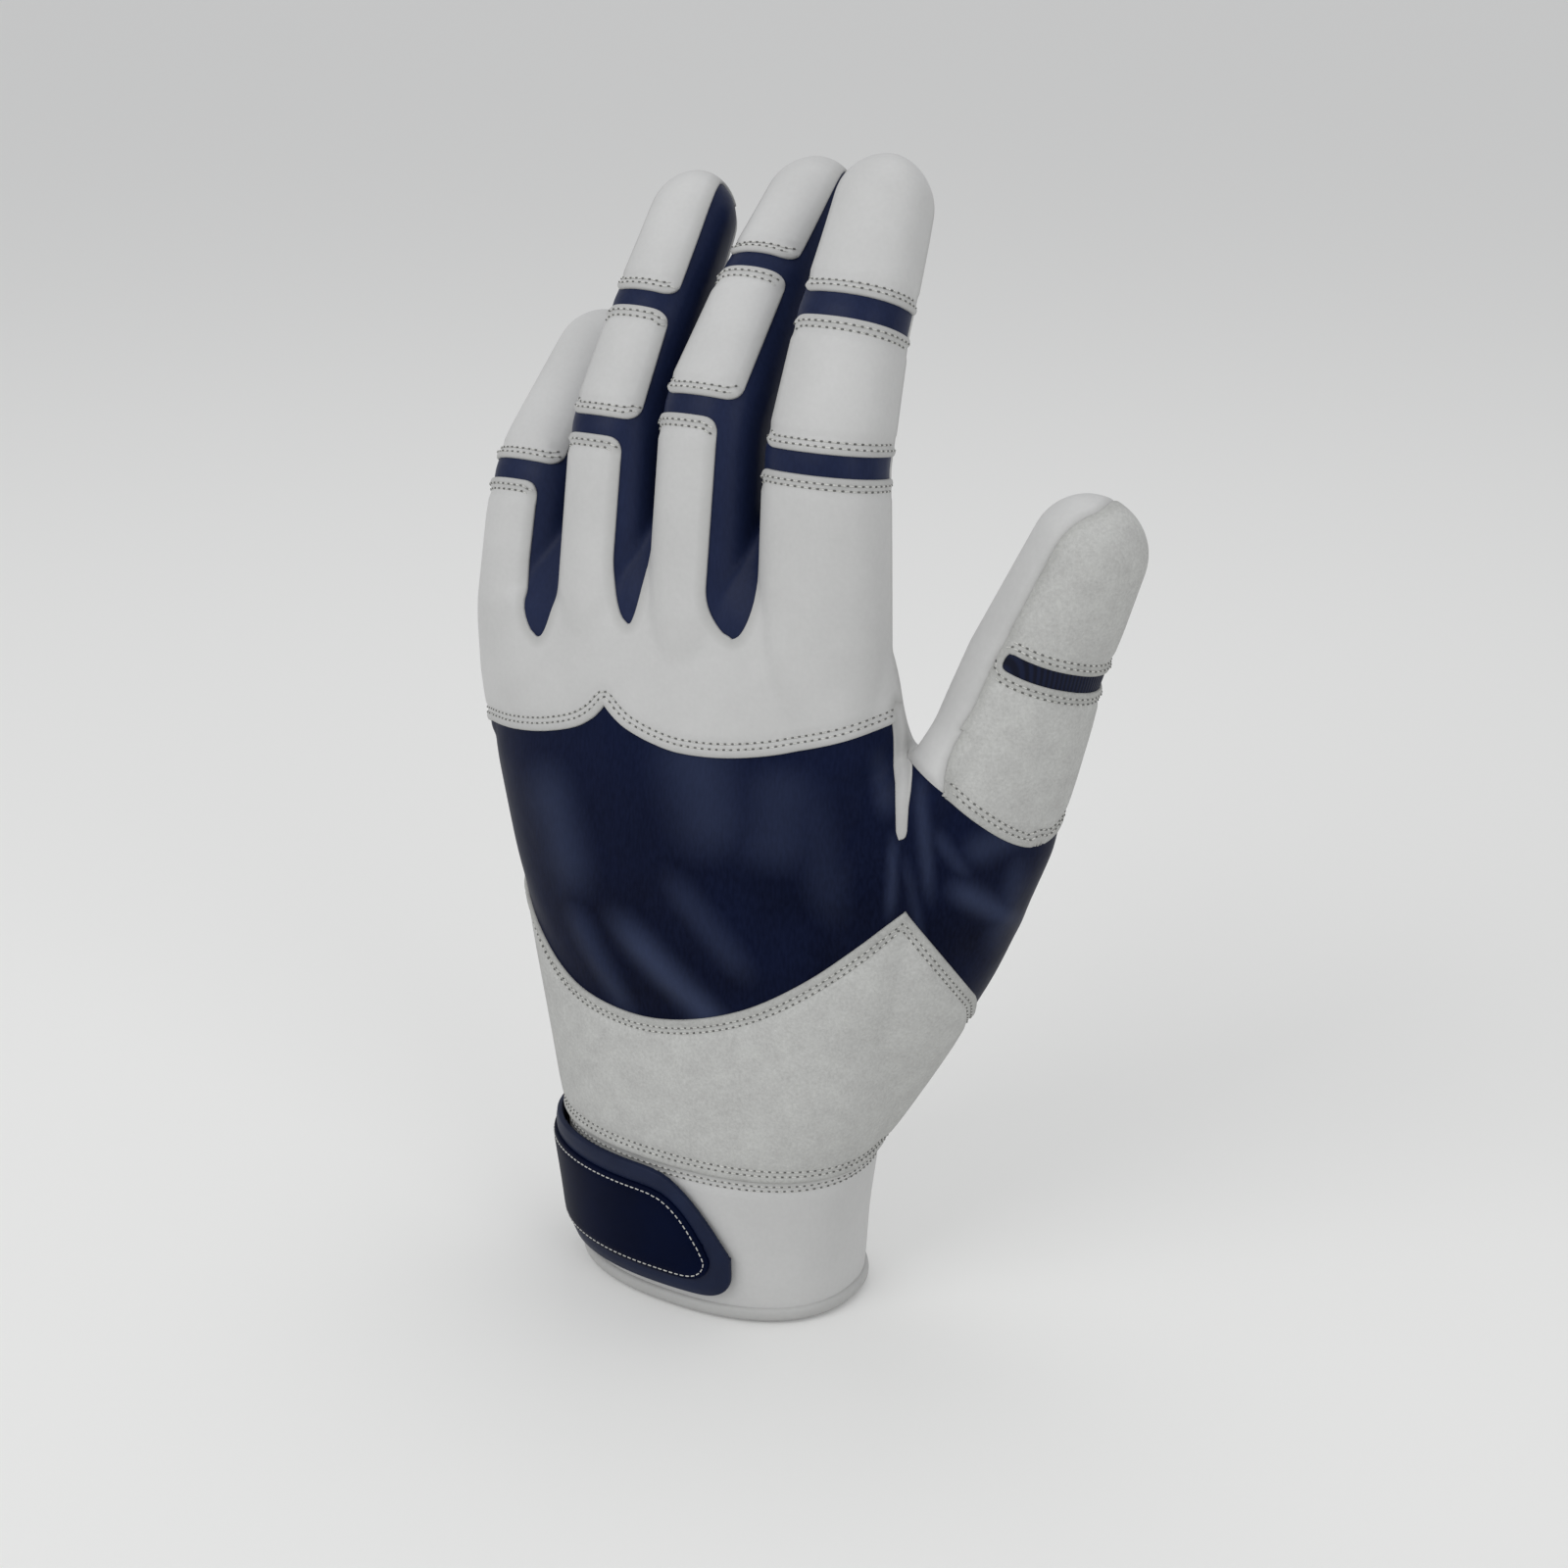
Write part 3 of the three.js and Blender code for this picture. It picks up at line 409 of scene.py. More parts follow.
def tube(frames, widths, depths, squeeze, drift=0.0, dome_share=DOME_SHARE):
    """Rings of a bent tube whose joints fan about its palm side, closed by a dome that drifts aside."""
    rings = []
    for index, place in enumerate(frames):
        length = place["length"]
        wide, deep = widths[index : index + 2], depths[index : index + 2]
        tip = index == len(frames) - 1
        dome = deep[1] * dome_share if tip else 0.0

        def ring_at(w, shrink=1.0):
            share = w / length
            size = (wide[0] + (wide[1] - wide[0]) * share, deep[0] + (deep[1] - deep[0]) * share)
            aside = drift * share**2 if tip else 0.0
            return tube_ring(place, w, *size, squeeze, shrink=shrink, aside=aside)

        rings += [ring_at(w) for w in np.linspace(0, length - dome, 14)]
        if tip:
            for turn in np.linspace(0, math.pi / 2, 12)[1:]:
                rings.append(ring_at(length - dome + dome * math.sin(turn), max(math.cos(turn), 0.02)))
            continue
        after = frames[index + 1]
        for share in np.linspace(0, 1, 8)[1:-1]:
            along = place["along"] * (1 - share) + after["along"] * share
            turned = frame_at(after["origin"], along / np.linalg.norm(along), place["palmward"])
            rings.append(tube_ring(turned, 0.0, wide[1], deep[1], squeeze))
    return rings


def finger_rings(spec):
    first = spec["frames"][0]
    upright = dict(first, along=np.array([0.0, 0.0, 1.0]), palmward=np.array([0.0, 1.0, 0.0]))
    rings = []
    for drop in np.linspace(24, 1.5, 10):
        sink = 1.6 * (drop / 24) ** 1.5
        rings.append(tube_ring(upright, -drop, spec["widths"][0], spec["depths"][0], spec["squeeze"], sink=sink))
    return rings + tube(spec["frames"], spec["widths"], spec["depths"], spec["squeeze"], spec["drift"])


def thumb_rings():
    """From the heel of the thumb, in the palm, to the tip of the thumb."""
    line = THUMB_PLACES[0] - THUMB_HEEL[0][0]
    line = line / np.linalg.norm(line)
    keys = []
    for place, width, depth in THUMB_HEEL:
        heel = frame_at(place + THUMB_SIDE * depth / 2, line, THUMB_SIDE)
        keys.append(tube_ring(heel, 0.0, width, depth, (0, 0)))
    for w in (-6.0, 0.0, 6.0):
        keys.append(tube_ring(THUMB_FRAMES[0], w, THUMB_WIDTHS[0], THUMB_DEPTHS[0], (0, 0)))
    rings = []
    for i in range(len(keys) - 2):
        rings += [glide(keys[max(i - 1, 0)], *keys[i : i + 3], t) for t in np.linspace(0, 1, 9)[:-1]]
    return rings + tube(THUMB_FRAMES, THUMB_WIDTHS, THUMB_DEPTHS, (0, 0), dome_share=0.52)


def valley_rings(gap):
    """Web between two fingers, which slopes from their backs towards the palm."""
    across, deep = section(40, 3.0)
    rows = through(WEB_SLOPE, 4)
    rings = []
    for rise, recess in rows:
        back, palm = gap["back"] + recess, gap["palm"]
        y = (back + palm) / 2 - deep * (palm - back) / 2
        rings.append(np.stack([gap["at"] + across * 8.5, y, np.full(40, gap["root"] + rise)], -1))
    return rings


def ridge_rings():
    """Rounded web between the index finger and the thumb, from its back to its palm side."""
    path = through(WEB_RIDGE, 5)
    ahead = np.gradient(path[:, :2], axis=0)
    ahead /= np.linalg.norm(ahead, axis=1, keepdims=True)
    inward = np.stack([ahead[:, 1], -ahead[:, 0]], -1)
    rings = []
    for turn in np.linspace(-math.pi / 2, math.pi / 2, 17):
        spot = path[:, :2] + inward * path[:, 3:] * (1 - math.cos(turn))
        y = path[:, 2] + path[:, 3] * math.sin(turn)
        top = np.stack([spot[:, 0], y, spot[:, 1]], -1)
        foot = np.stack([np.linspace(52, 26, len(path)), y[::-1], np.full(len(path), 88.0)], -1)
        rings.append(np.vstack([top, foot]))
    return rings


# Surface of the whole glove, before it is cut into panels


def mesh_object(name, points, faces):
    mesh = bpy.data.meshes.new(name)
    mesh.from_pydata((points * MM).tolist(), [], faces.tolist())
    mesh.update()
    made = bpy.data.objects.new(name, mesh)
    bpy.context.scene.collection.objects.link(made)
    return made


def glove_surface():
    hand = [hand_ring(HAND_TABLE, z, 0.0) for z in np.arange(-6.0, ROOT_HEIGHT + 0.1, 1.5)]
    web_table = smooth_table(WEB_STATIONS, 5)
    low, high = WEB_STATIONS[0, 0] * ROOT_HEIGHT, WEB_STATIONS[-1, 0] * ROOT_HEIGHT
    web = [hand_ring(web_table, z, 0.0, sides=48) for z in np.linspace(low, high, 30)]
    parts = [loft(hand), loft(web), loft(thumb_rings()), loft(ridge_rings(), hollowed=True)]
    parts += [loft(valley_rings(gap)) for gap in GAPS] + [loft(finger_rings(spec)) for spec in FINGERS.values()]
    count, points, faces = 0, [], []
    for part_points, part_faces in parts:
        points.append(part_points)
        faces.append(part_faces + count)
        count += len(part_points)
    body = mesh_object("glove_form", np.concatenate(points), np.concatenate(faces))
    remesh = body.modifiers.new("voxels", "REMESH")
    remesh.mode = "VOXEL"
    remesh.voxel_size = VOXEL * MM
    smooth = body.modifiers.new("smooth", "SMOOTH")
    smooth.factor = 0.5
    smooth.iterations = 8
    split = body.modifiers.new("triangles", "TRIANGULATE")
    bpy.context.view_layer.objects.active = body
    for modifier in (remesh, smooth, split):
        bpy.ops.object.modifier_apply(modifier=modifier.name)
    # the webs are drawn smooth between their two fingers
    taut = body.vertex_groups.new(name="taut")
    co = np.empty(len(body.data.vertices) * 3)
    body.data.vertices.foreach_get("co", co)
    hold = np.zeros(len(co) // 3)
    for spot, reach in TAUT:
        hold = np.maximum(hold, 1 - ease(0.45, 1.0, np.linalg.norm(co.reshape(-1, 3) / MM - spot, axis=1) / reach))
    for number in np.flatnonzero(hold > 0.01):
        taut.add([int(number)], hold[number], "REPLACE")
    draw = body.modifiers.new("draw", "SMOOTH")
    draw.factor = 0.5
    draw.iterations = 40
    draw.vertex_group = "taut"
    bpy.ops.object.modifier_apply(modifier="draw")
    mesh = body.data
    co = np.empty(len(mesh.vertices) * 3)
    mesh.vertices.foreach_get("co", co)
    tris = np.empty(len(mesh.polygons) * 3, int)
    mesh.polygons.foreach_get("vertices", tris)
    bpy.data.objects.remove(body)
    return co.reshape(-1, 3) / MM, tris.reshape(-1, 3)


# Seam functions: positive on one side of a seam, and about as many millimetres as it is away


def ease(low, high, value):
    t = np.clip((value - low) / (high - low), 0, 1)
    return t * t * (3 - 2 * t)


def round_min(a, b, radius):
    near = np.maximum(radius - np.abs(a - b), 0) / radius
    return np.minimum(a, b) - near * near * radius / 4


def bezier(a, b, c, count=40):
    t = np.linspace(0, 1, count)[:, None]
    a, b, c = (np.array(p) for p in (a, b, c))
    return a * (1 - t) ** 2 + 2 * b * t * (1 - t) + c * t**2


def through(places, steps=8):
    """Smooth line through places."""
    places = np.array(places, float)
    ends = np.vstack([2 * places[0] - places[1], places, 2 * places[-1] - places[-2]])
    line = []
    for i in range(len(places) - 1):
        a, b, c, d = ends[i : i + 4]
        line += [glide(a, b, c, d, t) for t in np.linspace(0, 1, steps, endpoint=False)]
    return np.array(line + [places[-1]])


SEAMS = {
    "knuckle": np.vstack([through(KNUCKLE_SEAM[0]), through(KNUCKLE_SEAM[1])[1:]]),
    "wrist": through(WRIST_SEAM),
}


def above_seam(points, name):
    line = SEAMS[name]
    slope = np.gradient(line[:, 1], line[:, 0])
    height = np.interp(points[:, 0], line[:, 0], line[:, 1])
    steep = np.interp(points[:, 0], line[:, 0], slope)
    value = (points[:, 2] - height) / np.sqrt(1 + steep**2)
    if name == "knuckle":
        return value
    (x0, y0), (x1, y1) = WRIST_DROP
    spot = seen(points)
    drop = (y0 + (spot[:, 0] - x0) * (y1 - y0) / (x1 - x0) - spot[:, 1]) * 0.12
    # where the camera doesn't see it, the seam runs on level
    behind = ease(8, 18, points[:, 1])
    drop = drop * (1 - behind) + (points[:, 2] - 60.0) * behind
    return np.maximum(value, np.where(points[:, 0] > 34, drop, -20.0))


def inside(points, outline):
    """Signed distance to an outline on the web of the thumb, positive inside."""
    spot = seen(points)
    far = np.full(len(points), 1e3)
    within = np.zeros(len(points), bool)
    corners = np.array(outline)
    for start, end in zip(corners, np.roll(corners, -1, axis=0)):
        line, rel = end - start, spot - start
        t = np.clip((rel @ line) / (line @ line), 0, 1)
        far = np.minimum(far, np.linalg.norm(rel - np.outer(t, line), axis=1))
        over = (start[1] > spot[:, 1]) != (end[1] > spot[:, 1])
        rise = line[1] if line[1] else 1e-9
        within ^= over & (spot[:, 0] < start[0] + line[0] * (spot[:, 1] - start[1]) / rise)
    front = (points[:, 2] > 95) & (points[:, 0] > 33) & (points[:, 1] < 20)
    return np.where(within & front, far, -far) * 0.2


def inside_tongue(points):
    return inside(points, TONGUE)


def finger_of(points):
    """Number of the finger that points belong to, from the index finger's 0."""
    return sum((points[:, 0] <= gap["at"]).astype(int) for gap in GAPS)


def is_thumb(points):
    """Beyond a line that leans out from the lowest place of the web."""
    x, z = points[:, 0], points[:, 2]
    return (x > 38.8 + 0.15 * (z - 117)) & (z > 100)


def local(points, frames):
    """Segment, width, depth, length in it and from the root, and share of it, for each point in a finger or thumb."""
    index = np.zeros(len(points), int)
    for before, after in zip(frames[:-1], frames[1:]):
        middle = before["along"] + after["along"]
        index += ((points - after["origin"]) @ middle > 0).astype(int)
    u, v, w, run, share = (np.zeros(len(points)) for _ in range(5))
    done = 0.0
    for number, place in enumerate(frames):
        here = index == number
        rel = points[here] - place["origin"]
        u[here] = rel @ place["across"]
        v[here] = -(rel @ place["palmward"])
        w[here] = rel @ place["along"]
        run[here] = w[here] + done
        share[here] = w[here] / place["length"]
        done += place["length"]
    return index, u, v, w, run, share


def size_at(index, share, sizes):
    sizes = np.array(sizes)
    share = np.clip(share, 0, 1)
    return sizes[index] * (1 - share) + sizes[index + 1] * share


def from_insert(points, frames, inserts):
    """Distance from the nearest joint insert, positive on the panels."""
    gap = np.full(len(points), 40.0)
    for before, after, (half, onward) in zip(frames[:-1], frames[1:], inserts):
        middle = before["along"] + after["along"]
        middle = middle / np.linalg.norm(middle)
        gap = np.minimum(gap, np.abs((points - after["origin"]) @ middle - onward) - half)
    return gap


def finger_panel(points):
    """Sides and inserts of the pale finger backs: (distance from the sides, distance from an insert)."""
    owner = finger_of(points)
    sides, ends = np.full(len(points), 20.0), np.full(len(points), 40.0)
    for number, spec in enumerate(FINGERS.values()):
        here = owner == number
        index, u, _, w, _, share = local(points[here], spec["frames"])
        half = size_at(index, share, spec["widths"]) / 2 * PANEL_SHARE
        last = len(spec["lengths"]) - 1
        dome = spec["depths"][-1] * DOME_SHARE
        beyond = np.clip((w - spec["lengths"][-1] + dome) / dome, 0, 1) * (index == last)
        half = half * (0.3 + 0.7 * np.sqrt(1 - beyond**2))
        u = u - spec["drift"] * np.clip(share, 0, 1) ** 2 * (index == last)
        z = points[here][:, 2]
        turn = np.minimum(index, 1)
        gap = np.full(len(u), 20.0)
        for which, sign in ((number, -1), (number - 1, 1)):
            if which < 0 or which > 2:
                continue
            limit = GAPS[which]
            full = limit["right"] if sign < 0 else limit["left"]
            rise = np.clip((z - limit["bottom"]) / limit["rise"], -1, 1)
            open_half = full * np.sign(rise) * np.sqrt(1 - (1 - np.abs(rise)) ** 2)
            reach = abs(limit["at"] - spec["axis"]) - open_half
            gap = np.minimum(gap, reach * (1 - turn) + half * turn - sign * u)
        sides[here] = gap
        ends[here] = from_insert(points[here], spec["frames"], spec["inserts"])
    return sides, ends


def thumb_local(points):
    """Width, depth and length of each point in the thumb, and the thumb's own depth there."""
    index, u, v, _, run, share = local(points, THUMB_FRAMES)
    return u, v, run, size_at(index, share, THUMB_DEPTHS)


def thumb_share(u, index_side):
    """Share of the depth at which the side seams run, from the index side to the outer side."""
    return index_side + (THUMB_SEAMS[1] - index_side) * ease(-5, 5, u)


ROOT_LINE = sorted(
    (spec["axis"] + sign * spec["widths"][0] * 0.42, spec["back"] + spec["depths"][0] * (1 - share))
    for spec in FINGERS.values()
    for sign, share in zip((-1, 1), spec["edges"])
)


def palm_side(points):
    """Positive on the palm side of the side seams."""
    x, y, z = points.T
    # the seam leans a little towards the palm on the thumb side, and meets each finger's own seams at its root
    plain = 4.0 * (x + 120) / 156
    root = np.interp(x, [p[0] for p in ROOT_LINE], [p[1] for p in ROOT_LINE])
    hand = y - (plain + (root - plain) * ease(112, 131, z))
    u, v, run, depth = thumb_local(points)
    low = 3.6 + (thumb_share(u, 0.22) * depth - 3.6) * ease(-25, 2, run)
    smooth_side = np.minimum(thumb_share(u, THUMB_SEAMS[0]) * depth - v, thumb_root(points))
    thumb_value = np.maximum(low - v, smooth_side)
    value = np.where(z < ROOT_HEIGHT, round_min(hand, thumb_value, 5.0), hand)
    owner = finger_of(points)
    for number, spec in enumerate(FINGERS.values()):
        here = (owner == number) & (z > spec["root"] - 4)
        index, u, v, _, _, along = local(points[here], spec["frames"])
        low, high = spec["edges"]
        seam = (low + (high - low) * ease(-3, 3, u)) * size_at(index, along, spec["depths"])
        blend = ease(spec["root"] - 2, spec["root"] + 8, z[here])
        value[here] = value[here] * (1 - blend) + (seam - v) * blend
    thumb = is_thumb(points) & (run > -4)
    lap = np.minimum(inside(points, WEB_LAP), thumb_root(points))
    return np.maximum(np.where(thumb, thumb_value, value), lap)


def thumb_root(points):
    """Positive on the pale side of the seam across the root of the thumb."""
    u, _, run, _ = thumb_local(points)
    line = through(ROOT_SEAM)
    return np.minimum(run - np.interp(u, line[:, 0], line[:, 1]), (seen(points)[:, 0] - 924.0) * 0.2)


def thumb_insert(points):
    """Positive on the ribbed insert over the thumb's bend."""
    u, v, _, depth = thumb_local(points)
    gap = from_insert(points, THUMB_FRAMES, (THUMB_INSERT,))
    value = round_min(-gap, v - thumb_share(u, THUMB_SEAMS[0]) * depth - 0.9, 1.6)
    return np.where(is_thumb(points), value, -20.0)


def pale_back(points):
    """Positive on the pale leather of the knuckles and the finger backs."""
    sides, ends = finger_panel(points)
    return np.minimum(round_min(sides, ends, 2.4), above_seam(points, "knuckle"))


def from_slit(points):
    """Positive outside the slit in the cuff."""
    x, y, z = points.T
    half = SLIT_HALF * np.clip((SLIT_TOP - z) / 32.0, 0, 1)
    return np.where(x < 0, np.abs(y - SLIT_AT) - half, 20.0)


# Cutting the surface along the seams


def cut(points, tris, value, where=None, snap=0.2):
    """Splits triangles along value = 0, after nearby vertices are slid on to the line."""
    f = value(points)
    if where is not None:
        f = np.where(where(points), f, np.nan)
    edges = np.sort(np.concatenate([tris[:, [0, 1]], tris[:, [1, 2]], tris[:, [2, 0]]]), axis=1)
    edges = np.unique(edges, axis=0)
    fa, fb = f[edges[:, 0]], f[edges[:, 1]]
    crossing = fa * fb < 0
    edges, fa, fb = edges[crossing], fa[crossing], fb[crossing]
    t = fa / (fa - fb)
    spot = points[edges[:, 0]] * (1 - t[:, None]) + points[edges[:, 1]] * t[:, None]
    total, hits = np.zeros_like(points), np.zeros(len(points))
    for near, end in ((t < snap, 0), (t > 1 - snap, 1)):
        np.add.at(total, edges[near, end], spot[near])
        np.add.at(hits, edges[near, end], 1)
    moved = hits > 0
    points = points.copy()
    points[moved] = total[moved] / hits[moved, None]
    f[moved] = 0.0
    fa, fb = f[edges[:, 0]], f[edges[:, 1]]
    still = fa * fb < 0
    edges, fa, fb = edges[still], fa[still], fb[still]
    t = (fa / (fa - fb))[:, None]
    fresh = points[edges[:, 0]] * (1 - t) + points[edges[:, 1]] * t
    width = len(points) + 1
    keys = edges[:, 0] * width + edges[:, 1]
    order = np.argsort(keys)
    keys, fresh = keys[order], fresh[order]
    base = len(points)
    points = np.vstack([points, fresh])

    def middle(a, b):
        key = np.minimum(a, b) * width + np.maximum(a, b)
        if not len(keys):
            return np.full(len(a), -1)
        at = np.clip(np.searchsorted(keys, key), 0, len(keys) - 1)
        return np.where(keys[at] == key, base + at, -1)

    sides = [middle(tris[:, i], tris[:, (i + 1) % 3]) for i in range(3)]
    count = sum((s >= 0).astype(int) for s in sides)
    kept = [tris[count == 0]]
    for i in range(3):
        a, b, c = tris[:, i], tris[:, (i + 1) % 3], tris[:, (i + 2) % 3]
        ab, bc, ca = sides[i], sides[(i + 1) % 3], sides[(i + 2) % 3]
        two = (count == 2) & (ab >= 0) & (ca >= 0)
        kept.append(np.stack([a, ab, ca], -1)[two])
        kept.append(np.stack([ab, b, c], -1)[two])
        kept.append(np.stack([ab, c, ca], -1)[two])
        one = (count == 1) & (bc >= 0)
        kept.append(np.stack([a, b, bc], -1)[one])
        kept.append(np.stack([a, bc, c], -1)[one])
    return points, np.concatenate(kept)


def vertex_normals(points, tris):
    a, b, c = points[tris[:, 0]], points[tris[:, 1]], points[tris[:, 2]]
    face = np.cross(b - a, c - a)
    total = np.zeros_like(points)
    for i in range(3):
        np.add.at(total, tris[:, i], face)
    return total / np.maximum(np.linalg.norm(total, axis=1, keepdims=True), 1e-12)


def facing_out(faces, normals, outward):
    """Faces and normals, turned round where they point inwards."""
    if (normals * outward).sum() < 0:
        return faces[:, ::-1], -normals
    return faces, normals


REGIONS = [
    "none", "cuff", "palm_leather", "thumb_panels", "thumb_insert", "web_tongue", "pale_back",
    "finger_stretch", "back_panel", "wrist_panel",
]


def on_back(points):
    """On the back of the glove, with a margin past its side seams."""
    return palm_side(points) < 1.5


def on_hand_back(points):
    return (points[:, 2] < HAND_TOP) & on_back(points)


def beside_tongue(points):
    return inside_tongue(points) < 1.0


def cut_surface():
    surface = glove_surface()
    for value, where in (
        (lambda p: p[:, 2] - HEM_TOP, None),
        (from_slit, lambda p: (p[:, 2] < SLIT_TOP + 3) & (p[:, 0] < 0)),
        (lambda p: p[:, 2] - CUFF_HEIGHT, None),
        (palm_side, lambda p: p[:, 2] > CUFF_HEIGHT - 2),
        (inside_tongue, on_hand_back),
        (thumb_root, lambda p: on_hand_back(p) & beside_tongue(p) & (p[:, 0] > WEB_SIDE)),
        (thumb_insert, on_back),
        (pale_back, lambda p: on_back(p) & beside_tongue(p) & ~(is_thumb(p) & (thumb_root(p) > 1.5))),
        (lambda p: above_seam(p, "wrist"), lambda p: on_hand_back(p) & (p[:, 2] < 100)),
    ):
        surface = cut(*surface, value, where)
    return surface


def regions_of(middles):
    """Number of the region that each triangle's middle lies in."""
    z = middles[:, 2]
    names = {name: number for number, name in enumerate(REGIONS)}
    region = np.full(len(middles), names["wrist_panel"])
    region[above_seam(middles, "wrist") > 0] = names["back_panel"]
    finger_area = (above_seam(middles, "knuckle") > 0) & ~is_thumb(middles)
    region[finger_area] = names["finger_stretch"]
    region[(pale_back(middles) > 0) & ~is_thumb(middles)] = names["pale_back"]
    thumb = (thumb_root(middles) > 0) & (middles[:, 0] > WEB_SIDE)
    region[thumb & is_thumb(middles)] = names["thumb_panels"]
    region[thumb_insert(middles) > 0] = names["thumb_insert"]
    region[inside_tongue(middles) > 0] = names["web_tongue"]
    region[palm_side(middles) > 0] = names["palm_leather"]
    region[z < CUFF_HEIGHT] = names["cuff"]
    region[(z < HEM_TOP) | ((z < SLIT_TOP) & (from_slit(middles) < 0))] = names["none"]
    return region


# Zones: every point lies in one zone, and each zone past the hand's lies at one joint


def build_zones():
    zones = [{"name": "hand", "bodies": ("hand",)}]
    for name, spec in FINGERS.items():
        frames = spec["frames"]
        x, y = spec["axis"], frames[0]["origin"][1]
        low, rise = ROOT_BENDS[name]
        bodies = ["hand", f"{name}_base", f"{name}_mid", f"{name}_end"]
        if name == "little":
            bodies.remove("little_mid")
        spec["zone"] = len(zones)
        zones.append({
            "name": f"{name}_root", "bodies": tuple(bodies[:2]),
            "start": (x, y, low), "end": (x, y, low + rise),
        })
        for index, after in enumerate(frames[1:]):
            along = frames[index]["along"] + after["along"]
            along = along / np.linalg.norm(along)
            zones.append({
                "name": f"{name}_bend_{index + 1}", "bodies": tuple(bodies[index + 1 : index + 3]),
                "start": after["origin"] - along * 6, "end": after["origin"] + along * 6,
            })
    first, second = THUMB_FRAMES
    along = first["along"] + second["along"]
    along = along / np.linalg.norm(along)
    zones.append({
        "name": "thumb_root", "bodies": ("hand", "thumb_base"),
        "start": first["origin"] + first["along"] * 6.6, "end": first["origin"] + first["along"] * 18,
    })
    zones.append({
        "name": "thumb_bend", "bodies": ("thumb_base", "thumb_end"),
        "start": second["origin"] - along * 5, "end": second["origin"] + along * 8,
    })
    return zones


ZONES = build_zones()


def zones_of(points):
    zone = np.zeros(len(points), int)
    owner = finger_of(points)
    thumb = is_thumb(points)
    for number, (name, spec) in enumerate(FINGERS.items()):
        here = (owner == number) & (points[:, 2] > ROOT_BENDS[name][0]) & ~thumb
        index, _, _, _, _, share = local(points[here], spec["frames"])
        # past this share of a segment, a point lies in the zone of the next joint
        limit = 0.52 if len(spec["lengths"]) == 3 else 0.64
        onward = (share > limit) & (index < len(spec["lengths"]) - 1)
        zone[here] = spec["zone"] + index + onward
    _, _, run, _ = thumb_local(points)
    for step, start in enumerate(THUMB_ZONES):
        zone[thumb & (run > start)] = len(ZONES) - 2 + step
    return zone


# Panels with a thickness and rolled edges


def edge_code(edges, width):
    return edges[:, 0].astype(np.int64) * width + edges[:, 1]


def borders_of(tris, every):
    """Directed border edges of a region that another region or nothing lies beside."""
    width = int(every.max()) + 1
    key = tris[:, [0, 1, 1, 2, 2, 0]].reshape(-1, 2)
    return key[~np.isin(edge_code(key, width), edge_code(key[:, ::-1], width))]


def border_spots(points, border):
    return np.concatenate([points[border[:, 0]], (points[border[:, 0]] + points[border[:, 1]]) / 2])


def nearest(spots, points, reach):
    """Distance from each point to the nearest spot, and the spot's number, up to a reach."""
    tree = KDTree(len(spots))
    for number, spot in enumerate(spots):
        tree.insert(spot, number)
    tree.balance()
    far = np.full(len(points), reach)
    which = np.full(len(points), -1)
    for number, point in enumerate(points):
        found = tree.find(point)
        if found[2] < reach:
            far[number], which[number] = found[2], found[1]
    return far, which


def thick_sheet(points, normals, tris, height, roll, wall):
    """Outer face at a height over the skin, rolled rim rows and an inner face a wall below."""
    used, small = np.unique(tris, return_inverse=True)
    small = small.reshape(-1, 3)
    p, n = points[used], normals[used]
    edges = borders_of(small, small)
    out = np.zeros_like(p)
    line = p[edges[:, 1]] - p[edges[:, 0]]
    away = np.cross(line, n[edges[:, 0]])
    for end in (0, 1):
        np.add.at(out, edges[:, end], away)
    out /= np.maximum(np.linalg.norm(out, axis=1, keepdims=True), 1e-9)
    rim = np.unique(edges)
    place = np.full(len(p), -1)
    place[rim] = np.arange(len(rim))
    lift = height[:, None]
    rows = [p + n * lift]
    for share, reach in ((0.86, 0.55), (0.5, 0.95), (0.05, 1.0)):
        rows.append(p[rim] + n[rim] * lift[rim] * share + out[rim] * roll * reach)
    rows.append(p[rim] - n[rim] * wall * 0.6 + out[rim] * roll * 0.4)
    rows.append(p - n * wall)
    starts = np.cumsum([0] + [len(r) for r in rows])
    faces = [small]
    owners = [np.arange(len(small))]
    owner_of_edge = edge_owner(small, edges)
    a, b = edges[:, 0], edges[:, 1]
    upper = (a, b)
    for row in range(1, len(rows)):
        if row == len(rows) - 1:
            lower = (a + starts[row], b + starts[row])
        else:
            lower = (place[a] + starts[row], place[b] + starts[row])
        faces.append(np.stack([upper[1], upper[0], lower[0]], -1))
        faces.append(np.stack([upper[1], lower[0], lower[1]], -1))
        owners += [owner_of_edge, owner_of_edge]
        upper = lower
    faces.append(small[:, ::-1] + starts[-2])
    owners.append(np.arange(len(small)))
    return np.concatenate(rows), np.concatenate(faces), np.concatenate(owners), used


def edge_owner(tris, edges):
    """Number of the triangle that each border edge belongs to."""
    width = int(tris.max()) + 1
    codes = edge_code(tris[:, [0, 1, 1, 2, 2, 0]].reshape(-1, 2), width)
    order = np.argsort(codes)
    return order[np.searchsorted(codes[order], edge_code(edges, width))] // 3


def show(name, points, tris, normals, word, edge=None):
    """A finished piece at the origin, with the normals it had before it was divided."""
    used, small = np.unique(tris, return_inverse=True)
    made = mesh_object(name, points[used], small.reshape(-1, 3))
    made.data.polygons.foreach_set("use_smooth", [True] * len(made.data.polygons))
    if edge is not None:
        data = made.data.attributes.new("edge", "FLOAT", "POINT")
        data.data.foreach_set("value", edge[used].astype(np.float32))
    made.data.normals_split_custom_set_from_vertices(normals[used].tolist())
    made.data.materials.append(MATERIALS[word])
    return made


def place_in_zone(made, zone):
    bodies = zone["bodies"]
    if len(bodies) == 1:
        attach(made, bodies[0])
    else:
        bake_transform(made)


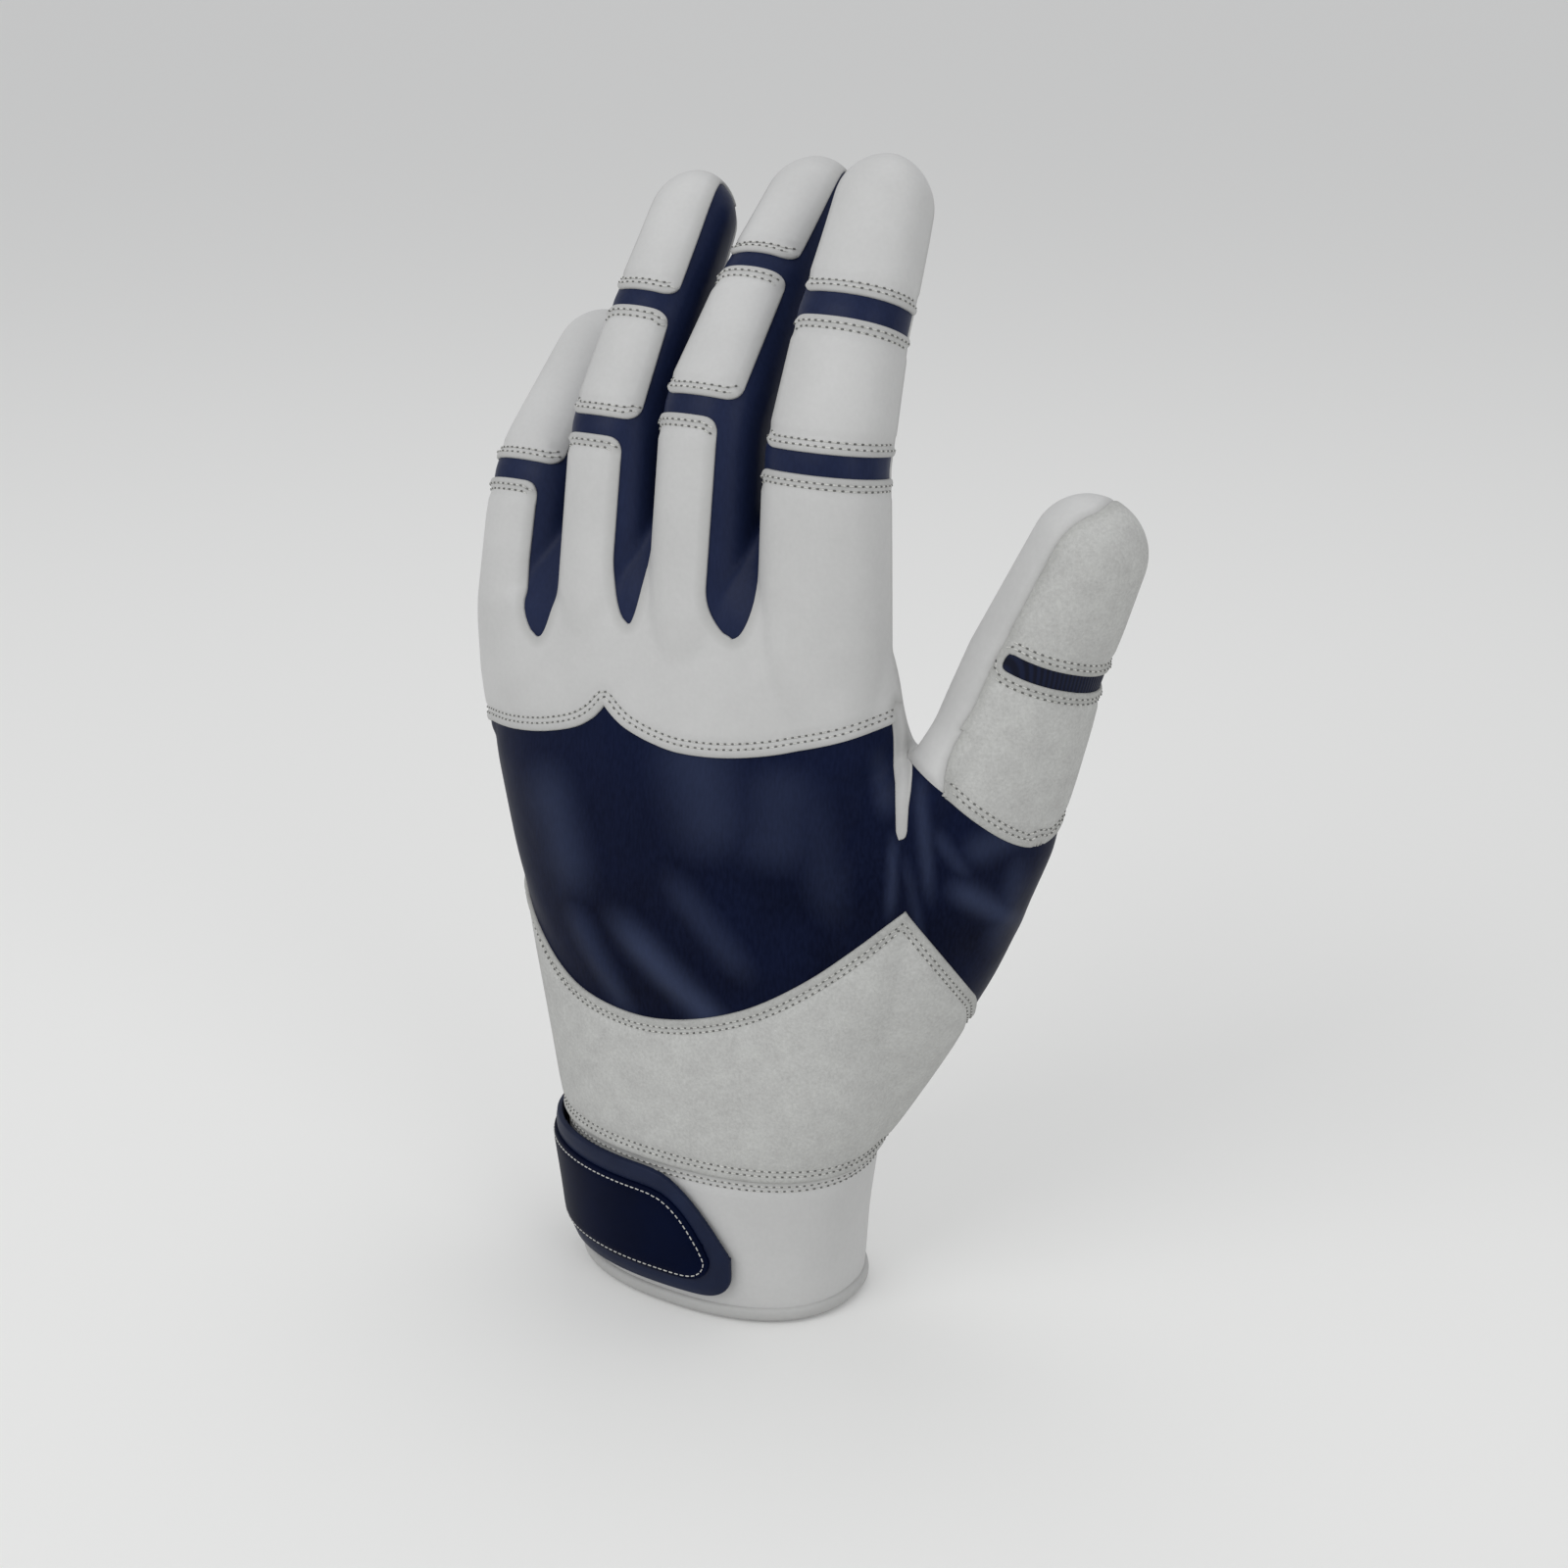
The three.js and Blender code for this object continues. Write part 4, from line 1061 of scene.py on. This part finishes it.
def capsule(length, radius):
    """A short rounded thread, lying along X on the surface."""
    sides = 6
    rings = [(-0.5, 0.45), (-0.36, 0.95), (0.36, 0.95), (0.5, 0.45)]
    turn = np.linspace(0, 2 * math.pi, sides, endpoint=False)
    made = []
    for along, share in rings:
        lift = radius * (1.0 if abs(along) < 0.45 else -0.3)
        made.append(np.stack([
            np.full(sides, along * length), np.cos(turn) * radius * share, np.sin(turn) * radius * share + lift * 0.4,
        ], -1))
    return loft(made)


def chain(segments):
    """Joins unordered segments, given as pairs of keys, into lists of keys."""
    links = {}
    for a, b in segments:
        links.setdefault(a, []).append(b)
        links.setdefault(b, []).append(a)
    lines, taken = [], set()
    ends = [key for key, others in links.items() if len(others) == 1] + list(links)
    for start in ends:
        if start in taken:
            continue
        line, here = [start], start
        taken.add(start)
        while True:
            onward = [k for k in links[here] if k not in taken]
            if not onward:
                break
            here = onward[0]
            taken.add(here)
            line.append(here)
        if len(line) > 3:
            lines.append(line)
    return lines


def contour(points, normals, tris, value, level, kind):
    """Lines on the surface where value is level, as (points, normals, kinds)."""
    f = value - level
    a = f[tris]
    crossed = tris[(a.min(1) < 0) & (a.max(1) > 0)]
    pairs, where = [], {}
    for tri in crossed:
        found = []
        for i in range(3):
            p, q = sorted((int(tri[i]), int(tri[(i + 1) % 3])))
            if f[p] * f[q] < 0:
                key = (p, q)
                if key not in where:
                    t = f[p] / (f[p] - f[q])
                    near = p if t < 0.5 else q
                    where[key] = (
                        points[p] * (1 - t) + points[q] * t,
                        normals[p] * (1 - t) + normals[q] * t,
                        kind[near],
                    )
                found.append(key)
        if len(found) == 2:
            pairs.append(found)
    lines = []
    for line in chain(pairs):
        lines.append(tuple(np.array([where[key][i] for key in line]) for i in range(3)))
    return lines


def runs_of(line):
    """Length of a line from its start up to each of its points."""
    return np.concatenate([[0], np.cumsum(np.linalg.norm(np.diff(line, axis=0), axis=1))])


def read_at(at, run, values):
    return np.stack([np.interp(at, run, values[:, i]) for i in range(3)], -1)


def resample(line, pitch):
    """Evenly spaced places, directions and normals along a line."""
    spots, normals, kinds = line
    for _ in range(4):
        spots = np.vstack([spots[:1], (spots[:-2] + 2 * spots[1:-1] + spots[2:]) / 4, spots[-1:]])
    run = runs_of(spots)
    if run[-1] < 2 * pitch:
        return []
    at = np.arange(pitch / 2, run[-1], pitch)
    along = read_at(at + 0.3, run, spots) - read_at(at - 0.3, run, spots)
    near = np.clip(np.searchsorted(run, at), 0, len(kinds) - 1)
    return list(zip(read_at(at, run, spots), along, read_at(at, run, normals), kinds[near]))


def stamp(shape, places):
    """Copies of a small shape at places with directions and normals."""
    points, faces = shape
    all_points, all_faces, count = [], [], 0
    for place, along, out, _ in places:
        out = out / np.linalg.norm(out)
        along = along - out * (along @ out)
        along = along / max(np.linalg.norm(along), 1e-9)
        side = np.cross(out, along)
        all_points.append(place + points @ np.stack([along, side, out]))
        all_faces.append(faces + count)
        count += len(points)
    return np.concatenate(all_points), np.concatenate(all_faces)


# Finishes: each is layers of tone and of relief, on patterns sized in millimetres


def pattern(tree, place, kind, size_mm, detail=2.0, rough=0.5, upright=1.0):
    """Clouds, cells or ribs about size_mm apart; an upright share under 1 draws them out along Z."""
    if upright != 1.0:
        place = add_node(tree, "Mapping", "Vector", {"Vector": place, "Scale": (1.0, 1.0, upright)})
    inputs = {"Vector": place, "Scale": 1000 / size_mm}
    if kind == "cells":
        return add_node(tree, "TexVoronoi", "Distance", inputs, feature="F1")
    if kind == "ribs":
        # a wave repeats each 20 pi of its scale
        inputs.update({"Scale": 314.16 / size_mm, "Distortion": 0.3})
        return add_node(tree, "TexWave", "Fac", inputs, bands_direction="Y")
    inputs.update({"Detail": detail, "Roughness": rough})
    return add_node(tree, "TexNoise", "Fac", inputs)


def painted_back_light(tree, place, edge, tone):
    """Painted light on the back panel: lighter towards the knuckles, and a painted sheen, paler along its folds, read
    from the edge attribute.
    """
    height = add_node(tree, "SeparateXYZ", "Z", {"Vector": place})
    rise = add_node(tree, "MapRange", "Result", {"Value": height, "From Min": 0.088, "From Max": 0.118})
    painted_sheen = add_node(tree, "MapRange", "Result", {"Value": edge, "From Min": 0.05, "From Max": 0.95})
    # painted light: 0f1732 lightens the panel towards the knuckles, and 3a435e is the painted sheen along the folds
    for share, code in ((rise, "0f1732"), (painted_sheen, "3a435e")):
        tone = add_node(tree, "Mix", 2, {0: share, 6: tone, 7: colour(code)}, data_type="RGBA")
    return tone


def finish(row):
    """The first tone covers all and each one after it is laid over by its share; relief adds up from the finest."""
    made = bpy.data.materials.new(row["name"])
    made.use_nodes = True
    tree = made.node_tree
    shader = tree.nodes["Principled BSDF"]
    place = add_node(tree, "TexCoord", "Object")
    edge = add_node(tree, "Attribute", "Fac", attribute_name="edge")
    tone = None
    for layer in row["tones"]:
        if callable(layer):
            tone = layer(tree, place, edge, tone)
            continue
        share, kind, *stops = layer
        drawn = add_node(tree, "ValToRGB", "Color", {"Fac": pattern(tree, place, *kind)}, stops=stops)
        if tone is None:
            tone = drawn
        else:
            tone = add_node(tree, "Mix", 2, {0: share, 6: tone, 7: drawn}, data_type="RGBA")
    if "seam" in row:
        # soiled and shaded a little within 2 mm of the panel's edge
        shade = add_node(tree, "ValToRGB", "Color", {"Fac": edge}, stops=[(0.0, row["seam"]), (0.5, "ffffff")])
        tone = add_node(tree, "Mix", 2, {0: 0.5, 6: tone, 7: shade}, data_type="RGBA", blend_type="MULTIPLY")
    tree.links.new(tone, shader.inputs["Base Color"])
    normal = None
    for kind, deep_mm, strength in row.get("relief", ()):
        inputs = {"Height": pattern(tree, place, *kind), "Distance": deep_mm * MM, "Strength": strength}
        if normal is not None:
            inputs["Normal"] = normal
        normal = add_node(tree, "Bump", "Normal", inputs)
    if normal is not None:
        tree.links.new(normal, shader.inputs["Normal"])
    shader.inputs["Roughness"].default_value = row["rough"]
    shader.inputs["Specular IOR Level"].default_value = row["gloss"]
    return made


# Threads of the knit lie about 0.5 mm apart, upright
THREADS = ("clouds", 0.5, 1, 0.4, 0.3)
YARN = (0.1, THREADS, (0.3, "02050f"), (0.7, "283252"))
KNIT_RELIEF = [(THREADS, 0.05, 0.2), (("clouds", 12), 1.0, 0.3)]
NAP = ("clouds", 0.6, 3, 0.7)

FINISHES = {
    # Smooth full-grain goatskin: pale and even, with soft 18 mm clouds, a 0.8 mm pebble and a low, broad gloss
    "leather": {
        "name": "smooth_goatskin_leather", "slot": "leather", "rough": 0.5, "gloss": 0.35, "seam": "cfcfcd",
        "tones": [(1.0, ("clouds", 18, 3), (0.3, "c6c6c5"), (0.7, "cfcfce")),
                  (0.12, ("clouds", 0.9), (0.3, "bebebd"), (0.7, "d4d4d3"))],
        "relief": [(("cells", 0.8), 0.03, 0.4), (("clouds", 9, 3), 0.6, 0.25)],
    },
    # Brushed suede: a 0.6 mm nap that lies in cloudy patches 4 to 5 mm wide, greyer than the leather, with no gloss
    "suede": {
        "name": "brushed_suede", "slot": "suede", "rough": 0.95, "gloss": 0.12, "seam": "d8d8d6",
        "tones": [(1.0, ("clouds", 4.5, 4, 0.65), (0.28, "bbbbb9"), (0.72, "cccdca")),
                  (0.3, NAP, (0.25, "8f8f8c"), (0.75, "dededc"))],
        "relief": [(NAP, 0.12, 0.8), (("clouds", 5, 3), 0.5, 0.35)],
    },
    # Gussets and inserts: deep navy elastane knit, even, with soft 20 mm clouds, and painted lighter than the back
    # panel's knit as painted light in the shade between the fingers
    "stretch": {
        "name": "elastane_knit_painted_lighter", "slot": "stretch", "rough": 0.42, "gloss": 0.12, "relief": KNIT_RELIEF,
        "tones": [(1.0, ("clouds", 20), (0.35, "1a2340"), (0.65, "212a48")), YARN],
    },
    # Back panel: the same knit pulled taut, near black with patches 25 mm wide, and painted light: lighter towards
    # the knuckles and a painted sheen along its folds
    "satin_with_painted_sheen": {
        "name": "taut_elastane_knit_painted_sheen", "slot": "stretch", "rough": 0.42, "gloss": 0.05, "relief": KNIT_RELIEF,
        "tones": [(1.0, ("clouds", 25, 3), (0.36, "02061b"), (0.64, "09112b")), painted_back_light, YARN],
    },
    # Ribbed elastic: cords about 0.7 mm apart
    "rib": {
        "name": "ribbed_elastic", "slot": "stretch", "rough": 0.6, "gloss": 0.15,
        "tones": [(1.0, ("ribs", 0.7), (0.2, "080d20"), (0.8, "121a33"))],
        "relief": [(("ribs", 0.7), 0.15, 0.4)],
    },
    # Woven backing coated with matt rubber: dull navy with a fine tooth
    "strap": {
        "name": "coated_webbing", "slot": "strap", "rough": 0.5, "gloss": 0.2,
        "tones": [(1.0, ("clouds", 8, 3), (0.3, "0e1832"), (0.7, "15203c"))],
        "relief": [(("clouds", 0.5), 0.06, 0.4)],
    },
    # Moulded rubber: very dark navy, satin
    "moulded": {
        "name": "moulded_rubber", "slot": "strap", "rough": 0.45, "gloss": 0.04,
        "tones": [(1.0, ("clouds", 12), (0.3, "01071f"), (0.7, "020b27"))],
        "relief": [(("clouds", 0.7), 0.04, 0.3)],
    },
    # Bonded polyester thread: off-white with a twist
    "thread": {
        "name": "bonded_thread", "rough": 0.6, "gloss": 0.5,
        "tones": [(1.0, ("clouds", 0.4, 1), (0.3, "b8b8b4"), (0.7, "dcdcd8"))],
    },
    # Needle holes: painted shade, dark grey marks for the shade inside each hole in the leather
    "hole": {
        "name": "needle_hole_painted_shade", "rough": 0.9, "gloss": 0.5,
        "tones": [(1.0, ("clouds", 1.0, 1), (0.3, "626260"), (0.7, "7a7a77"))],
    },
    # Hook-and-loop tape: woven nylon with a fuzzy face
    "hook": {
        "name": "hook_and_loop_tape", "slot": "hook_and_loop", "rough": 0.9, "gloss": 0.5,
        "tones": [(1.0, ("cells", 1.1), (0.1, "1c2030"), (0.6, "080b14"))],
        "relief": [(("cells", 1.1), 0.4, 0.8)],
    },
}
MATERIALS = {word: finish(row) for word, row in FINISHES.items()}


# Panels of the glove

PANELS = {
    "cuff": {"finish": "leather", "base": 0.1, "bead": 0.0, "puff": 0.2, "rows": ("top",)},
    "palm_leather": {"finish": "leather", "base": 0.3, "bead": 0.0, "tuck": 0.4, "puff": 0.3, "rows": ()},
    "thumb_panels": {"finish": "suede", "base": 0.4, "bead": 0.12, "puff": 0.3, "rows": ("insert", "root")},
    "thumb_insert": {"finish": "rib", "base": 0.0, "bead": 0.0, "puff": 0.25, "rows": ()},
    "web_tongue": {"finish": "leather", "base": 0.35, "bead": 0.1, "puff": 0.2, "rows": ()},
    "pale_back": {"finish": "leather", "base": 0.5, "bead": 0.2, "puff": 0.4, "rows": ("insert", "knuckle")},
    "finger_stretch": {"finish": "stretch", "base": 0.0, "bead": 0.0, "puff": 0.3, "rows": ()},
    "back_panel": {"finish": "satin_with_painted_sheen", "base": 0.0, "bead": 0.0, "puff": 0.5, "rows": ()},
    "wrist_panel": {"finish": "suede", "base": 0.45, "bead": 0.3, "puff": 0.3, "rows": ("wrist", "cuff")},
}

# Soft folds of the back panel as the camera sees them: both ends in pixels of the photograph's frame, half width
# in pixels, height in millimetres and the strength of the painted sheen along them
FOLDS = [
    (560, 790, 590, 900, 22, 0.5, 0.5), (700, 745, 735, 860, 40, 0.5, 0.45), (800, 790, 790, 880, 45, 0.4, 0.35),
    (640, 945, 735, 1050, 15, 0.9, 0.75), (590, 930, 640, 1030, 12, 0.6, 0.45), (690, 900, 760, 990, 16, 0.6, 0.35),
    (820, 800, 850, 930, 26, 0.4, 0.25), (895, 770, 905, 830, 12, 0.5, 0.35), (912, 860, 908, 930, 7, 0.8, 0.5),
    (938, 800, 948, 905, 8, 0.7, 0.55), (990, 870, 1040, 850, 16, 0.6, 0.5), (975, 905, 1030, 935, 14, 0.7, 0.7),
    (955, 850, 985, 890, 9, 0.5, 0.4), (925, 880, 940, 960, 7, 0.6, 0.3), (1040, 880, 1010, 960, 12, 0.4, 0.4),
]


def folds(points):
    """Height of the folds, and the strength of their painted sheen from 0 to 1."""
    spot = seen(points)
    rise, painted_sheen = np.zeros(len(points)), np.zeros(len(points))
    for x0, y0, x1, y1, half, height, bright in FOLDS:
        dx, dy = x1 - x0, y1 - y0
        run = dx * dx + dy * dy
        t = ((spot[:, 0] - x0) * dx + (spot[:, 1] - y0) * dy) / run
        off = ((spot[:, 0] - x0) * dy - (spot[:, 1] - y0) * dx) / math.sqrt(run)
        shape = ease(-0.35, 0.25, t) * (1 - ease(0.75, 1.35, t)) * np.exp(-((off / half) ** 2))
        rise += height * shape
        painted_sheen = np.maximum(painted_sheen, bright * shape)
    return rise, painted_sheen


def kinds_of(points, name):
    """What each border point is sewn to, as a word."""
    sides, ends = finger_panel(points)
    options = {
        "palm": np.abs(palm_side(points)),
        "cuff": np.abs(points[:, 2] - CUFF_HEIGHT),
        "knuckle": np.abs(above_seam(points, "knuckle")),
        "wrist": np.abs(above_seam(points, "wrist")),
        "root": np.abs(thumb_root(points)),
        "tongue": np.abs(inside_tongue(points)),
    }
    if name == "pale_back":
        options["side"] = np.abs(sides)
        options["insert"] = np.abs(ends)
    if name == "thumb_panels":
        options["insert"] = np.abs(thumb_insert(points))
    if name == "cuff":
        options = {
            "top": np.abs(points[:, 2] - CUFF_HEIGHT), "hem": np.abs(points[:, 2] - HEM_TOP),
            "slit": np.abs(from_slit(points)),
        }
    words = list(options)
    return np.array(words)[np.argmin(np.stack([options[w] for w in words]), axis=0)]


def profile(d, from_row, style):
    """Height of a sewn panel at a distance from its edge: tuck, rolled bead, sewn-down rows, soft crown."""
    tuck = style.get("tuck", 0.0) * np.exp(-((d / 0.9) ** 2))
    bead = style["bead"] * np.exp(-(((from_row - 0.6) / 0.6) ** 2))
    sewn = -0.25 * ease(0.9, 1.4, from_row) * (1 - ease(2.3, 3.8, from_row))
    crown = style["puff"] * (1 - np.exp(-((d / 5.0) ** 2)))
    return style["base"] - tuck + bead + sewn + crown


def piece_names(region, zone_name):
    if region == "pale_back":
        return "knuckle_panel" if zone_name == "hand" else f"{zone_name}_pale_back"
    if region == "finger_stretch":
        return "finger_webs" if zone_name == "hand" else f"{zone_name}_stretch"
    return region if zone_name == "hand" else f"{zone_name}_{region}"


def stitch_places(outer, normals, own, from_row, kind, rows):
    """Stitches along every row of a panel, on the parts of its edge that the row belongs to."""
    places = []
    for level in sorted({level for row in rows for level in ROWS[row]}):
        for line in contour(outer, normals, own, from_row, level, kind):
            places += [stitch for stitch in resample(line, STITCH_PITCH)
                       if stitch[3] in rows and level in ROWS[stitch[3]]]
    return places


def dress():
    """Sews the panels of the whole glove and returns its pieces by name."""
    points, tris = cut_surface()
    normals = vertex_normals(points, tris)
    middles = points[tris].mean(1)
    region = regions_of(middles)
    zone = zones_of(middles)
    made = {}
    threads, holes = {}, {}
    for name, style in PANELS.items():
        number = REGIONS.index(name)
        own = tris[region == number]
        own_zone = zone[region == number]
        used = np.unique(own)
        border = borders_of(own, tris)
        spots = border_spots(points, border)
        far = np.full(len(points), REACH)
        far[used], _ = nearest(spots, points[used], REACH)
        spot_kinds = kinds_of(spots, name)
        sewn = np.isin(spot_kinds, style["rows"])
        from_row, which = np.full(len(points), REACH), np.full(len(points), -1)
        if sewn.any():
            from_row[used], which[used] = nearest(spots[sewn], points[used], REACH)
        height = profile(far, from_row, style)
        if name == "back_panel":
            rise, painted_sheen = folds(points)
            height = height + rise * ease(1.0, 9.0, far)
        sheet, faces, owners, kept = thick_sheet(points, normals, own, height[used], ROLL, WALL)
        sheet_normals = vertex_normals(sheet, faces)
        edge = np.zeros(len(sheet))
        # on the back panel the edge attribute carries the painted sheen of its folds, not the distance from its edge
        edge[: len(kept)] = painted_sheen[kept] if name == "back_panel" else np.minimum(far[kept] / 4.0, 1.0)
        edge[-len(kept):] = 0.5
        face_zone = own_zone[owners]
        for zone_number in np.unique(face_zone):
            part = faces[face_zone == zone_number]
            label = piece_names(name, ZONES[zone_number]["name"])
            piece = show(f"sewn_{label}", sheet, part, sheet_normals, style["finish"], edge)
            made[label] = (piece, zone_number)
        if not style["rows"]:
            continue
        # no stitch lies across another edge at the corner of a panel
        clear = (which >= 0) & ((far > 0.75) | (far > from_row - 0.05))
        kind = np.where(clear, spot_kinds[sewn][np.maximum(which, 0)], "none")
        outer = points + normals * height[:, None]
        for stitch in stitch_places(outer, normals, own, from_row, kind, style["rows"]):
            which_zone = int(zones_of(stitch[0][None, :])[0])
            threads.setdefault(which_zone, []).append(stitch)
            along = stitch[1] / max(np.linalg.norm(stitch[1]), 1e-9)
            # beside each stitch a needle hole, a dark mark of painted shade
            holes.setdefault(which_zone, []).append((stitch[0] + along * STITCH_PITCH / 2, *stitch[1:]))
    for label, groups, shape, word in (
        ("stitches", threads, capsule(0.98, 0.15), "thread"), ("needle_hole_shade_marks", holes, capsule(0.5, 0.18), "hole"),
    ):
        for zone_number, places in groups.items():
            stitch_points, stitch_faces = stamp(shape, places)
            name = f"{ZONES[zone_number]['name']}_{label}"
            piece = show(name, stitch_points, stitch_faces, vertex_normals(stitch_points, stitch_faces), word)
            made[name] = (piece, zone_number)
    for piece, zone_number in made.values():
        place_in_zone(piece, ZONES[zone_number])
    return {name: piece for name, (piece, _) in made.items()}


# Cuff hem, patches and strap


def add_binding():
    """Leather rolled over the hem, open at the slit."""
    count = 260
    ring = hand_ring(HAND_TABLE, 1.4, 0.0, sides=count)
    x, y = ring[:, 0], ring[:, 1]
    keep = ~((x < 0) & (np.abs(y - SLIT_AT) < SLIT_HALF + 0.2))
    start = int(np.argmax(~keep))
    order = [(start + i) % count for i in range(count)]
    path = ring[[i for i in order if keep[i]]]
    sides = 14
    turn = np.linspace(0, 2 * math.pi, sides, endpoint=False)
    rings = []
    for i, spot in enumerate(path):
        before, after = path[max(i - 1, 0)], path[min(i + 1, len(path) - 1)]
        along = (after - before) / np.linalg.norm(after - before)
        outward = np.cross(along, (0, 0, 1))
        if outward[:2] @ (spot[:2] - ring.mean(0)[:2]) < 0:
            outward = -outward
        ends = min(i, len(path) - 1 - i)
        swell = 1.0 if ends > 1 else (0.25, 0.8)[ends]
        across = np.sign(np.cos(turn)) * np.abs(np.cos(turn)) ** 0.8
        up = np.sign(np.sin(turn)) * np.abs(np.sin(turn)) ** 0.8
        centre = spot - outward * 0.15
        rings.append(centre + np.outer(across * 1.15 * swell, outward) + np.outer(up * 1.4 * swell, (0, 0, 1)))
    points, faces = loft(rings)
    faces, normals = facing_out(faces, vertex_normals(points, faces), (points - np.mean(path, axis=0)) * (1, 1, 0))
    made = show("rolled_binding", points, faces, normals, "leather")
    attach(made, "hand")
    return made


def strap_inside(points, margin):
    """Signed distance to the strap's outline."""
    x, y, z = points.T
    top, bottom, nose = STRAP_TOP - margin, STRAP_FOOT + margin, STRAP_NOSE - margin
    slope = bezier((nose, 14.0), (5.0, top), (STRAP_SLOPE, top))
    line = slope[np.argsort(slope[:, 1])]
    right = np.interp(z, np.concatenate([[bottom], line[:, 1]]), np.concatenate([[nose], line[:, 0]]))
    over = np.interp(x, slope[::-1, 0], slope[::-1, 1])
    diagonal = np.minimum((right - x) * 0.8, np.where(x > STRAP_SLOPE, (over - z) * 0.8, top - z))
    value = round_min(round_min(z - bottom, diagonal, 5.0), top - z, 2.0)
    # not on the palm side
    return np.where(y > 6.0, -20.0, value)


def add_band(name, offset, thick, margin, end_y, word, roll, body, front=False):
    """A layer on the cuff, at an offset from the hand, cut to the strap's outline or to the anchor's in front."""
    grid = []
    for z in np.arange(3.0, 34.0, 0.7):
        ring = hand_ring(HAND_TABLE, z, offset, sides=400)
        closed = np.vstack([ring, ring[:1]])
        run = runs_of(closed)
        grid.append(read_at(np.linspace(0, run[-1], 300, endpoint=False), run, closed))
    count = len(grid[0])
    points = np.concatenate(grid)
    faces = []
    for row in range(len(grid) - 1):
        for side in range(count):
            a, b = row * count + side, row * count + (side + 1) % count
            faces.append((a, b, b + count))
            faces.append((a, b + count, a + count))
    faces = np.array(faces)
    if front:
        value = lambda p: np.minimum(
            np.minimum(p[:, 1] - end_y, ANCHOR_END - p[:, 0]), np.minimum(p[:, 2] - ANCHOR_FOOT, STRAP_TOP - p[:, 2])
        )
    else:
        value = lambda p: np.where(
            p[:, 0] < 0, np.minimum(strap_inside(p, margin), end_y - p[:, 1]), strap_inside(p, margin)
        )
    near = lambda p: (p[:, 1] < 24) & (p[:, 0] < 22)
    points, faces = cut(points, faces, value, near)
    middles = points[faces].mean(1)
    faces = faces[(value(middles) > 0) & near(middles)]
    faces, normals = facing_out(faces, vertex_normals(points, faces), points * (1, 1, 0))
    used = np.unique(faces)
    far = np.full(len(points), 10.0)
    far[used], _ = nearest(border_spots(points, borders_of(faces, faces)), points[used], 10.0)
    height = thick * (0.72 + 0.28 * (1 - np.exp(-((far / 0.9) ** 2))))
    sheet, sheet_faces, _, kept = thick_sheet(points, normals, faces, height[used], roll, 0.05)
    edge = np.zeros(len(sheet))
    edge[: len(kept)] = np.minimum(far[kept] / 4.0, 1.0)
    made = show(f"shaped_{name}", sheet, sheet_faces, vertex_normals(sheet, sheet_faces), word, edge)
    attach(made, body)
    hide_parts(name)
    return points + normals * height[:, None], normals, faces, far


def add_strap():
    add_band("loop_patch", 0.2, 0.4, 3.4, -3.0, "hook", 0.05, "hand")
    add_band("hook_patch", 0.75, 0.4, 3.4, -3.0, "hook", 0.05, "wrist_strap")
    add_band("strap", 1.25, 1.5, 0.0, 4.8, "strap", 0.35, "wrist_strap")
    outer, normals, faces, far = add_band("strap_panel", 2.6, 1.1, 3.4, 1.0, "moulded", 0.25, "wrist_strap")
    add_band("strap_anchor", 0.3, 2.4, 0.0, 5.2, "strap", 0.3, "hand", front=True)
    kind = np.array(["row"] * len(outer))
    stitches = []
    for line in contour(outer, normals, faces, far, 0.7, kind):
        stitches += resample(line, 1.25)
    points, tris = stamp(capsule(0.85, 0.13), stitches)
    row = show("strap_stitches", points, tris, vertex_normals(points, tris), "thread")
    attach(row, "wrist_strap")


def replace_nodes(binding):
    """Each visual panel stands for the CAD solids in its place."""
    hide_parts("cuff_binding")
    plain = {
        "finger_webs": ["ring_little_web", "middle_ring_web", "index_middle_web"],
        "thumb_bend_thumb_insert": ["thumb_insert"],
        "thumb_root_thumb_panels": ["thumb_proximal_back"],
        "thumb_bend_thumb_panels": ["thumb_tip_back"],
        "thumb_root_palm_leather": ["thumb_proximal_palm"],
        "thumb_bend_palm_leather": ["thumb_tip_palm"],
    }
    for name in ("cuff", "palm_leather", "back_panel", "wrist_panel", "web_tongue", "knuckle_panel"):
        plain[name] = [name]
    for name in FINGERS:
        parts = ["proximal", "middle", "tip"] if name != "little" else ["proximal", "tip"]
        for index, part in enumerate(parts):
            zone = f"{name}_root" if index == 0 else f"{name}_bend_{index}"
            for kind, word in (("pale_back", "back"), ("palm_leather", "palm"), ("stretch", "stretch")):
                plain[f"{zone}_{kind}"] = [f"{name}_{part}_{word}"]
    for name, nodes in plain.items():
        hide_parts(*nodes)


add_camera()
add_stage()
glove_pieces = dress()
replace_nodes(add_binding())
add_strap()
